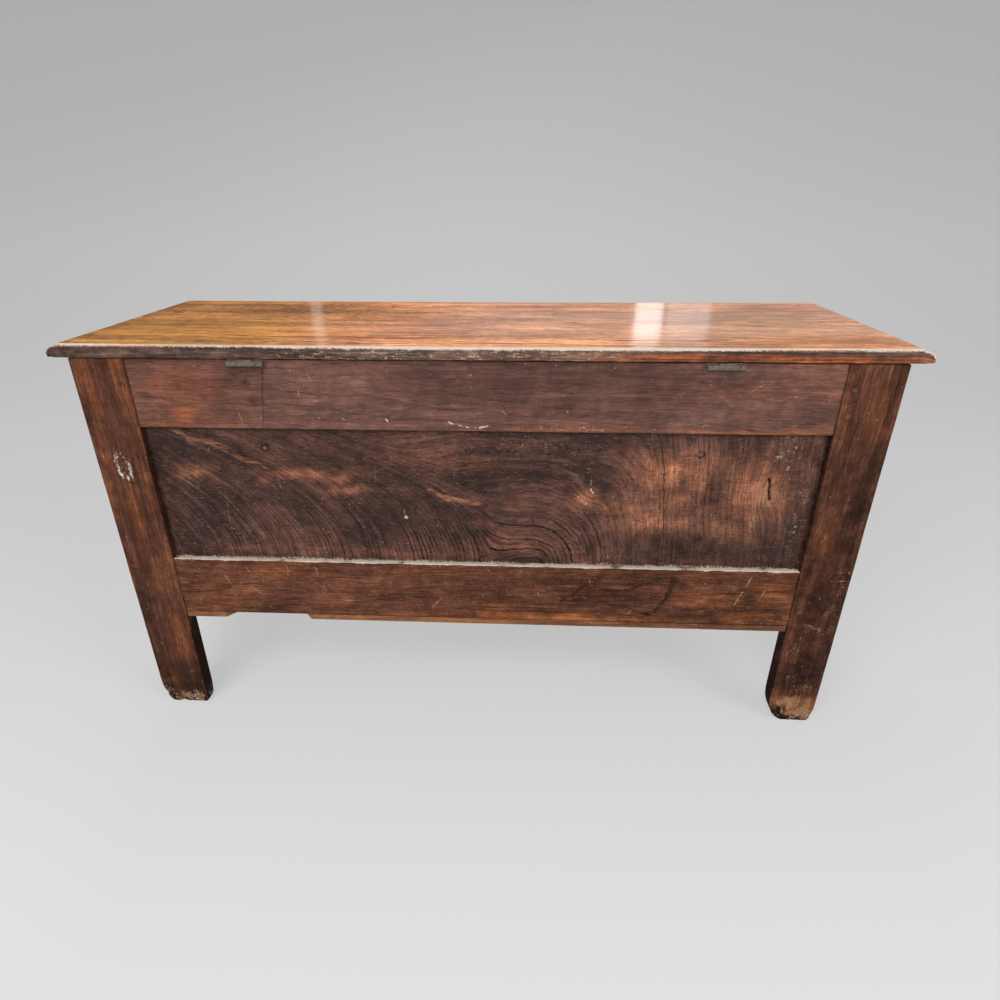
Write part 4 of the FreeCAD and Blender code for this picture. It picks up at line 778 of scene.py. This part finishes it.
def rear_panel():
    low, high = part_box("rear_panel")
    axes = [lines(low.x, high.x, 0.0019, (0.0,)), np.array((low.y, low.y + 0.004, high.y - 0.002, high.y)),
            lines(low.z, high.z, 0.0018, (0.0,))]
    board = Board(low, high, 0, None, 97, radius=0.0004, uneven=0.0007, plain=((1, 0),), axes=axes)
    flat_u, z = -board.mm(0), board.mm(2)
    face = smooth(238, 241, board.mm(1))
    u = flat_u + 5 * board.vary(0.09, 1) + 1.1 * board.vary(0.018, 2)
    h = z - PANEL_FOOT + 4 * board.vary((0.12, 0.12, 0.05), 3) + 0.9 * board.vary(0.015, 4)
    field = panel_field(u, h)
    board.ring = (field + 1.4 * board.vary(0.009, 12)) / 7.5
    board.grain = np.stack(((u - h) * MM + 3.1, field * MM + 1.7, board.rest[:, 1]), 1)
    board.veins(1.05, 1.9)
    bold = (
        (105, 30, 100, 85, 1.0), (-90, 20, 120, 85, 0.9), (-300, 60, 170, 100, 0.55),
        (290, 110, 90, 120, 0.4))
    board.open *= 0.45 + 0.8 * blots(u, h, bold)
    board.open += blots(u, h, ((160, 40, 60, 75, 0.5), (-10, 30, 130, 60, 0.3), (-400, 90, 120, 80, 0.2)))
    a, b = flat_u + 12 * board.vary(0.05, 5), z + 10 * board.vary(0.04, 6)
    board.warm = blots(a, b, (
        (310, 500, 55, 34, 0.75), (300, 415, 58, 22, 0.75), (375, 500, 30, 40, 0.6),
        (335, 455, 85, 60, 0.35), (330, 530, 100, 16, 0.3), (-290, 492, 75, 10, 0.55),
        (-495, 493, 24, 11, 0.6), (179, 458, 20, 18, 0.9), (60, 372, 60, 14, 0.3), (430, 400, 40, 26, 0.4),
        (-230, 465, 50, 8, 0.45), (-60, 520, 90, 14, 0.2), (-420, 350, 80, 9, 0.2), (-180, 345, 160, 8, 0.2),
        (465, 470, 50, 55, 0.65)))
    board.bare = blots(a, b, (
        (476, 466, 26, 30, 0.75), (-42, 452, 34, 6, 0.6), (462, 420, 14, 36, 0.6), (430, 440, 8, 30, 0.35),
        (300, 430, 60, 26, 0.3), (-20, 400, 20, 34, 0.3)))
    board.dark = blots(a, b, (
        (394, 467, 14, 32, 0.75), (380, 372, 75, 26, 0.7), (162, 471, 15, 11, 0.7), (338, 486, 12, 16, 0.5),
        (365, 440, 10, 24, 0.3), (212, 481, 10, 11, 0.7), (262, 479, 7, 9, 0.7), (-140, 405, 120, 45, 0.3),
        (530, 540, 30, 50, 0.45), (545, 380, 30, 60, 0.45), (-545, 450, 20, 120, 0.4),
        (-420, 450, 50, 26, 0.3), (100, 345, 90, 20, 0.3)))
    board.dark += 0.35 * smooth(0.1, 0.7, board.vary((0.15, 0.1, 0.06), 7))
    board.warm += 0.25 * smooth(0.2, 0.8, board.vary((0.12, 0.1, 0.04), 8))
    inset = np.minimum(PANEL_HALF - np.abs(flat_u), np.minimum(z - PANEL_FOOT, PANEL_HEAD - z))
    # Painted shade in the recess along the panel's sides and top.
    recess_shade = smooth(6, 0.5, inset + 1.5 * board.vary(0.02, 11)) * smooth(PANEL_FOOT, PANEL_FOOT + 19, z)
    board.dark += 0.7 * recess_shade
    marks = (
        ((-348, 481), (-340, 462), (-331, 440)), ((-443, 442), (-447, 387), (-400, 384)),
        ((-176, 529), (-177, 480)), ((-42, 502), (-43, 489)), ((-60, 360), (-40, 348)),
        ((560, 470), (549, 387)))
    board.bare += face * scratches(board, flat_u, z, marks, 1.4, 0.65)
    gashes = (((-514, 562), (-460, 545), (-414, 523), (-370, 509)), ((-84, 467), (-42, 453), (1, 440)))
    board.bare += face * scratches(board, flat_u, z, gashes, 2.2, 0.6)
    rubbed = smooth(-0.5, 0.4, board.vary((0.03, 0.03, 0.004), 14))
    board.warm += 0.5 * face * rubbed * (stroke(a, b, gashes[0], 5) + stroke(a, b, gashes[1], 4))
    chip = (((186, 497), (189, 472), (196, 463), (192, 452), (179, 445)),)
    board.dust += face * scratches(board, flat_u, z, chip, 1.6, 0.8)
    board.dust += face * blots(flat_u, z, ((-129, 416, 4, 4, 0.9), (-131, 426, 2, 8, 0.5)))
    sprinkle = blots(a, b, (
        (505, 530, 25, 50, 0.55), (538, 440, 14, 80, 0.55), (100, 545, 150, 20, 0.35),
        (-60, 470, 60, 20, 0.3)))
    board.dust += face * sprinkle * smooth(0.0, 0.5, board.vary(0.0055, 9))
    board.dust += 0.5 * face * smooth(PANEL_FOOT + 5, PANEL_FOOT, z + 3 * board.vary(0.02, 10))
    phase = board.ring % 1.0
    groove = np.maximum((1 - smooth(0, 0.35, phase)) ** 2, smooth(0.88, 1, phase))
    board.lift -= face * 0.0014 * groove * np.maximum(board.open - 0.3, 0)
    split = stroke(flat_u, z, ((480, 496), (483, 486), (483, 476), (487, 460)), 2.2)
    board.lift -= face * 0.005 * split
    board.dark += face * 1.2 * split
    board.bare *= 1 - split
    board.lift -= face * 0.0012 * blots(flat_u, z, ((-42, 452, 40, 6, 1.0), (186, 465, 9, 16, 1.0)))
    for nail_u, nail_z in NAILS:
        halo = np.hypot((flat_u - nail_u) / 9, (z - nail_z) / 7) + 0.5 * board.vary(0.008, 13)
        board.dark += 0.85 * face * np.exp(-((halo - 0.75) / 0.35) ** 2)
        board.bare += 0.5 * face * np.exp(-(halo / 0.45) ** 2)
    board.make("rear_panel_worn", PANEL, "carcase", "panel_oak", "rear_panel")


# Lid

MOULD, STEP, DROP = 0.022, 0.0015, 0.011
MOULD_LINES = (0.0, 0.0005, 0.0013, 0.0026, 0.0045, 0.007, 0.010, 0.0135, 0.017, 0.0202, 0.0217, 0.0223,
               0.024, 0.028)
SKIN = 0.0003
CORNERS = ((-1, 0.040), (1, 0.004))


def lid_faces(low, high, board):
    """For each polygon of a lid board, 1 on the lid's rough rear edge, 2 on its underside and 0 elsewhere."""
    starts = np.concatenate(((0,), np.cumsum(board.sizes)[:-1]))
    at = board.rest[board.corners]
    back = np.minimum.reduceat(at[:, 1], starts) > max(high.y - SKIN, 0.25)
    highest = np.maximum.reduceat(at[:, 2], starts)
    band = back & (highest < high.z - 0.001)
    return np.where(highest < low.z + SKIN, 2, band).astype(np.int32)


def lid_board(name, front):
    low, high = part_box(name)
    y_near = MOULD_LINES if front else ARRIS
    count = round((high.y - low.y - y_near[-1] - ARRIS[-1]) / 0.005)
    ys = np.concatenate((low.y + np.array(y_near[:-1]),
                         np.linspace(low.y + y_near[-1], high.y - ARRIS[-1], count + 1),
                         (high.y - np.array(ARRIS[:-1]))[::-1]))
    axes = [lines(low.x, high.x, 0.0032, MOULD_LINES), ys, lines(low.z, high.z, 0.0018)]
    seed = 113 if front else 127
    board = Board(low, high, 0, None, seed, radius=0.0014, uneven=0.0002, plain=((2, 0),), axes=axes)
    x, y, z = board.rest.T
    u, depth = -x * 1000, y * 1000
    inset = np.minimum(x - low.x, high.x - x)
    if front:
        inset = np.minimum(inset, y - low.y)
        board.heart(0.03, 0.25, 0.2, pitch=0.014, wander=0.04)
        crown = np.exp(-((u + 40) / 190) ** 2)
        board.ring += crown * (u + 0.003 * (depth + 150) ** 2) / 11
        board.veins(1.0, 1.5)
    else:
        board.heart(0.12, -0.5, 0.06, pitch=0.02, wander=0.04)
        board.veins(0.95, 1.4)
        behind = y > high.y - SKIN
        board.ring = np.where(behind, 0.4 * board.ring + z / 0.005, board.ring)
        board.open *= np.where(y > high.y - 0.007, np.where(behind, 0.6, 0.0), 1.0)
        board.radius *= 1 + 1.3 * smooth(high.y - 0.008, high.y, y)
        rough = smooth(high.y - 0.005, high.y, y) * smooth(high.z - 0.0015, high.z - 0.004, z)
        board.lift -= rough * 0.0016 * np.abs(board.vary((0.03, 0.01, 0.003), seed + 9))
    board.radius *= 1 + 2.0 * smooth(0.02, 0.0, inset)
    points = board.shaped()
    top = (points[:, 2] - low.z) / (high.z - low.z)
    bend = np.clip(1 - inset / MOULD, 0, 1)
    drop = np.where(bend > 0, STEP + (DROP - STEP) * bend ** 1.5, 0)
    sag = 0.0015 * (1 - (x / high.x) ** 2) + 0.0004 * board.vary((0.3, 0.08, 1), seed)
    points[:, 2] -= top * (drop + sag)
    if front:
        for side, radius in CORNERS:
            round_corner(points, (0, 1), (side * high.x, low.y), (-side, 1), (radius, radius))
    a = u + 60 * board.vary(0.15, 5)
    b = depth + 18 * board.vary((0.2, 0.05, 0.05), 6)
    golden = smooth(-150, -460, a) * (0.75 if front else 1.0)
    streaks = cloud(board.grain, (0.6, 0.06, 0.06), seed + 7)
    board.warm = golden + 0.25 * smooth(0, 0.6, streaks)
    board.warm += blots(a, b, ((490, 60, 50, 200, 0.6), (440, 150, 70, 60, 0.4)))
    board.dark = 0.42 * smooth(0.05, 0.6, cloud(board.grain, (0.4, 0.045, 0.045), seed + 8))
    board.dark += blots(a, b, (
        (-400, -120, 190, 80, 0.75), (-300, 110, 160, 16, 0.25), (-110, -50, 260, 30, 0.25),
        (360, -60, 130, 130, 0.3), (350, -40, 260, 14, 0.3), (40, -20, 330, 12, 0.45),
        (-560, -20, 50, 90, 0.3), (540, -170, 70, 50, 0.3), (-200, 200, 80, 16, 0.2)))
    board.dark += 0.45 * smooth(-590, -665, u) + 0.6 * smooth(25, 4, 1000 * inset)
    board.bare = blots(a, b, (
        (-70, 190, 130, 22, 0.4), (80, 60, 180, 24, 0.34), (100, -150, 200, 40, 0.25),
        (330, 215, 200, 20, 0.35)))
    kept = 0.75 if front else 1 - 0.6 * smooth(60, 230, b)
    board.polish = np.clip(smooth(-420, 150, a) * kept + 0.25 * streaks, 0, 1)
    if not front:
        spots = board.vary((0.010, 0.010, 0.0022), seed + 11)
        streaky = board.vary((0.05, 0.02, 0.0035), seed + 10)
        glow = smooth(80, 330, u) * smooth(high.z - 0.007, high.z - 0.013, z + 0.004 * streaky)
        sooty = 0.5 * smooth(-100, -450, u) + 0.7 * streaky + 0.25 * smooth(150, 400, u)
        dusted = 0.9 * smooth(-0.25, 0.35, spots) * smooth(-480, -200, u) * smooth(420, 150, u)
        rear = {"dark": sooty, "warm": 0.8 * glow, "bare": 0.75 * dusted, "dust": 0.4 * dusted}
        for field, value in rear.items():
            setattr(board, field, np.where(behind, value, getattr(board, field)))
        # The pale line on the rear top arris is a worn edge with a painted highlight in it.
        highlit_worn_arris = smooth(high.y - 0.010, high.y - 0.003, y) * smooth(high.z - 0.0055, high.z - 0.002, z)
        rubbed_sheen = 0.45 * smooth(-450, 0, u) - 0.3 * smooth(250, 520, u)
        sheen = 0.45 + rubbed_sheen + 0.3 * board.vary((0.05, 0.02, 0.02), seed + 12)
        board.dust += highlit_worn_arris * sheen
        board.dark *= 1 - highlit_worn_arris
        handled = smooth(high.y - 0.035, high.y - 0.006, y) * np.where(behind, 0, 1)
        board.dark += 0.22 * handled
        board.dust += 0.3 * handled
    shaded = np.where(z < low.z + SKIN, 0.3, 1.0)
    board.dark *= shaded
    board.warm *= shaded
    board.dust *= shaded
    thing = board.make(name + "_worn", LID, "lid", "lid_oak", name, points=points)
    thing.data.materials.append(EDGE)
    thing.data.materials.append(UNDERSIDE)
    thing.data.polygons.foreach_set("material_index", lid_faces(low, high, board))


# The rest of the frame

def frame_board(name, along, seed, material, slot, clip=None, plain=(), radius=0.0022):
    """A straight member of the sides or front, shown between the members that hold its tenons."""
    low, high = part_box(name)
    if clip:
        axis, ends = clip
        low[axis], high[axis] = ends
    steps = [0.004] * 3
    steps[along] *= 1.3
    board = Board(low, high, along, steps, seed, plain=plain, radius=radius)
    board.heart(0.12, 0.3 - (seed % 7) / 7, 0.03)
    board.wear(0.45)
    board.make(name + "_worn", material, "carcase", slot, name)


for hand in (1, -1):
    rear_stile(hand)
    front_leg, front_points, front_name = stile(hand, False)
    front_leg.make(front_name + "_worn", FRONT, "carcase", "front_oak", front_name, points=front_points)
rear_top_rail()
rear_bottom_rail()
rear_panel()
lid_board("lid_board_rear", False)
lid_board("lid_board_front", True)

SIDE = (1, (-0.20165 - TENON, 0.22235 + TENON))
MUNTIN = (2, (0.42, 0.603))
DIVIDER = (2, (0.254, 0.394))
for hand, label in ((-1, "left"), (1, "right")):
    inner_face = ((0, 1) if hand < 0 else (0, 0),)
    frame_board("side_top_rail_" + label, 1, 141 + hand, BACK, "frame_oak", SIDE, inner_face)
    frame_board("side_bottom_rail_" + label, 1, 151 + hand, BACK, "frame_oak", SIDE, inner_face)
    frame_board("side_panel_" + label, 1, 161 + hand, PANEL, "panel_oak", None, inner_face, radius=0.0008)
inner_face = ((1, 1),)
for number, part in enumerate(("top", "middle", "bottom")):
    frame_board("front_%s_rail" % part, 0, 171 + number, FRONT, "front_oak", WIDE, inner_face)
for number, label in enumerate(("left", "right")):
    frame_board("front_muntin_" + label, 2, 174 + number, FRONT, "front_oak", MUNTIN, inner_face)
frame_board("drawer_divider", 2, 176, FRONT, "front_oak", DIVIDER, inner_face)


def starting(word):
    return [name for name in nodes if name.startswith(word)]


def dress(names, material, bevel=0.0006):
    """A carried solid keeps its shape, and gets a material and softened arrises."""
    for number, name in enumerate(names):
        thing = nodes[name]
        thing["board_seed"] = 0.37 * number + 0.11 * len(name)
        for slot in thing.material_slots:
            slot.material = material
        weld = thing.modifiers.new("weld", "WELD")
        weld.merge_threshold = 0.00002
        soften = thing.modifiers.new("arris", "BEVEL")
        soften.width = bevel
        soften.segments = 2
        soften.limit_method = "ANGLE"
        soften.angle_limit = math.radians(40)


dress(starting("front_panel"), POLISHED[0])
dress(["drawer_left_front", "drawer_right_front"], POLISHED[0])
dress(["joint_pegs"], PEG, 0.0005)
dress(starting("floor_board"), INSIDE[1])
dress(["floor_ledger_rear"], INSIDE[0], 0.0008)
dress(starting("bottom_board"), UNDER, 0.0012)
dress(starting("drawer_runner") + ["drawer_guides"], INSIDE[1])
dress(starting("lid_batten"), INSIDE[1])
for drawer in ("drawer_left", "drawer_right"):
    dress([drawer + "_side_outer", drawer + "_side_inner"], INSIDE[1], 0.0004)
    dress([drawer + "_back", drawer + "_bottom"], INSIDE[0], 0.0004)
dress(starting("hinge"), IRON, 0.0003)

KNOB = (
    (0, -1.0), (0.3, -0.99), (0.6, -0.955), (0.82, -0.9), (0.95, -0.83), (1.0, -0.76), (0.98, -0.7),
    (0.9, -0.63), (0.75, -0.56), (0.6, -0.48), (0.5, -0.38), (0.45, -0.28), (0.46, -0.2), (0.52, -0.14),
    (0.62, -0.11), (0.64, -0.07), (0.63, 0.0))
SPIGOT = 0.006


def turned_knobs(drawer):
    """The two knobs of a drawer, with the spigots that go through its front."""
    low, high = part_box(drawer + "_knobs")
    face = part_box(drawer + "_front")[0].y
    head, reach = (high.z - low.z) / 2, face - low.y
    profile = [(head * r, face + reach * y) for r, y in KNOB]
    profile += [(SPIGOT, face), (SPIGOT, high.y), (0, high.y)]
    centres = [(x, (low.z + high.z) / 2) for x in (low.x + head, high.x - head)]
    mesh = mesh_of(drawer + "_knobs_turned", *lathe(profile, centres))
    knobs = piece(drawer + "_knobs_turned", mesh, POLISHED[1], drawer, "front_oak", drawer + "_knobs")
    knobs["board_seed"] = 0.7


turned_knobs("drawer_left")
turned_knobs("drawer_right")


def panel_nails():
    """Two hand-made nails driven through the back panel."""
    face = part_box("rear_panel")[1].y
    head = (
        (0, face + 0.0014), (0.0016, face + 0.0012), (0.0028, face + 0.0007), (0.0032, face),
        (0.0012, face - 0.001), (0.001, face - 0.009), (0, face - 0.009))
    mesh = mesh_of("panel_nails", *lathe(head, [(-u * MM, z * MM) for u, z in NAILS], 9))
    piece("panel_nails", mesh, IRON, "carcase", "hinge_iron")


panel_nails()


# Studio

HALF_WIDTH, FLOOR_END, WALL_TOP = 24.0, 24.0, 9.0
CURVE_START, CURVE_RADIUS = -2.5, 2.0
profile = [(FLOOR_END, 0.0), (CURVE_START, 0.0)]
for t in np.linspace(0, math.pi / 2, 17)[1:]:
    profile.append((CURVE_START - CURVE_RADIUS * math.sin(t), CURVE_RADIUS - CURVE_RADIUS * math.cos(t)))
profile.append((CURVE_START - CURVE_RADIUS, WALL_TOP))
sweep_points = [(x, y, z) for y, z in profile for x in (-HALF_WIDTH, HALF_WIDTH)]
corners = [n for k in range(0, 2 * len(profile) - 2, 2) for n in (k, k + 1, k + 3, k + 2)]
sweep_mesh = mesh_of("studio_sweep", sweep_points, corners, [4] * (len(profile) - 1))
sweep_mesh.materials.append(backdrop())
sweep = bpy.data.objects.new("studio_sweep", sweep_mesh)
scene.collection.objects.link(sweep)


def softbox(name, place, target, width, height, power, mirrored=False):
    """A soft lamp. Only a mirrored one shows in the polish of the lid."""
    lamp = bpy.data.lights.new(name, "AREA")
    lamp.shape = "RECTANGLE"
    lamp.size, lamp.size_y = width, height
    lamp.energy = power
    thing = bpy.data.objects.new(name, lamp)
    scene.collection.objects.link(thing)
    thing.location = place
    thing.rotation_euler = (Vector(target) - Vector(place)).to_track_quat("-Z", "Y").to_euler()
    thing.visible_camera = False
    thing.visible_glossy = mirrored


CHEST_BACK, CHEST_MIDDLE = (0, 0.1, 0.4), (0, 0, 0.5)
softbox("key", (1.2, 3.4, 2.7), CHEST_BACK, 2.6, 2.0, 136)
softbox("fill", (-2.6, 2.4, 1.9), CHEST_BACK, 1.8, 1.6, 63)
softbox("front_fill", (0.5, -3.4, 3.2), CHEST_MIDDLE, 2.2, 1.4, 90)
WINDOWS = (
    ("window_strip", 1.06, 0.06, 0.24), ("window_pane", -0.685, 0.14, 0.5),
    ("window_side", -0.89, 0.22, 0.26))
WINDOW_Y, WINDOW_Z, WINDOW_HEIGHT = -2.6, 1.12, 0.7
for name, x, width, power in WINDOWS:
    softbox(name, (x, WINDOW_Y, WINDOW_Z), (x, 0, WINDOW_Z), width, WINDOW_HEIGHT, power, True)

ROOM_LIGHT = 0.45
world = bpy.data.worlds.new("studio")
scene.world = world
world.use_nodes = True
sky = world.node_tree.nodes["Background"]
sky.inputs["Color"].default_value = (1.0, 1.0, 1.0, 1.0)
sky.inputs["Strength"].default_value = ROOM_LIGHT

YAW, PITCH, ROLL = math.radians(3.302), math.radians(30.03), -0.00427
FOCAL_LENGTH, SENSOR = 25.55, 36.0
SHIFT_X, SHIFT_Y = 0.010, 0.100
CAMERA_PLACE = (-0.083, 1.37845, 0.9108)
forward = Vector((math.sin(YAW) * math.cos(PITCH), -math.cos(YAW) * math.cos(PITCH), -math.sin(PITCH)))
right = Vector((-math.cos(YAW), -math.sin(YAW), 0.0))
up = right.cross(forward)
rolled_right = right * math.cos(ROLL) + up * math.sin(ROLL)
rolled_up = up * math.cos(ROLL) - right * math.sin(ROLL)
lens = bpy.data.cameras.new("camera")
lens.lens, lens.sensor_width = FOCAL_LENGTH, SENSOR
lens.shift_x, lens.shift_y = SHIFT_X, SHIFT_Y
lens.clip_start = 0.05
camera = bpy.data.objects.new("camera", lens)
scene.collection.objects.link(camera)
turn = Matrix((rolled_right, rolled_up, -forward)).transposed().to_4x4()
camera.matrix_world = Matrix.Translation(CAMERA_PLACE) @ turn
scene.camera = camera
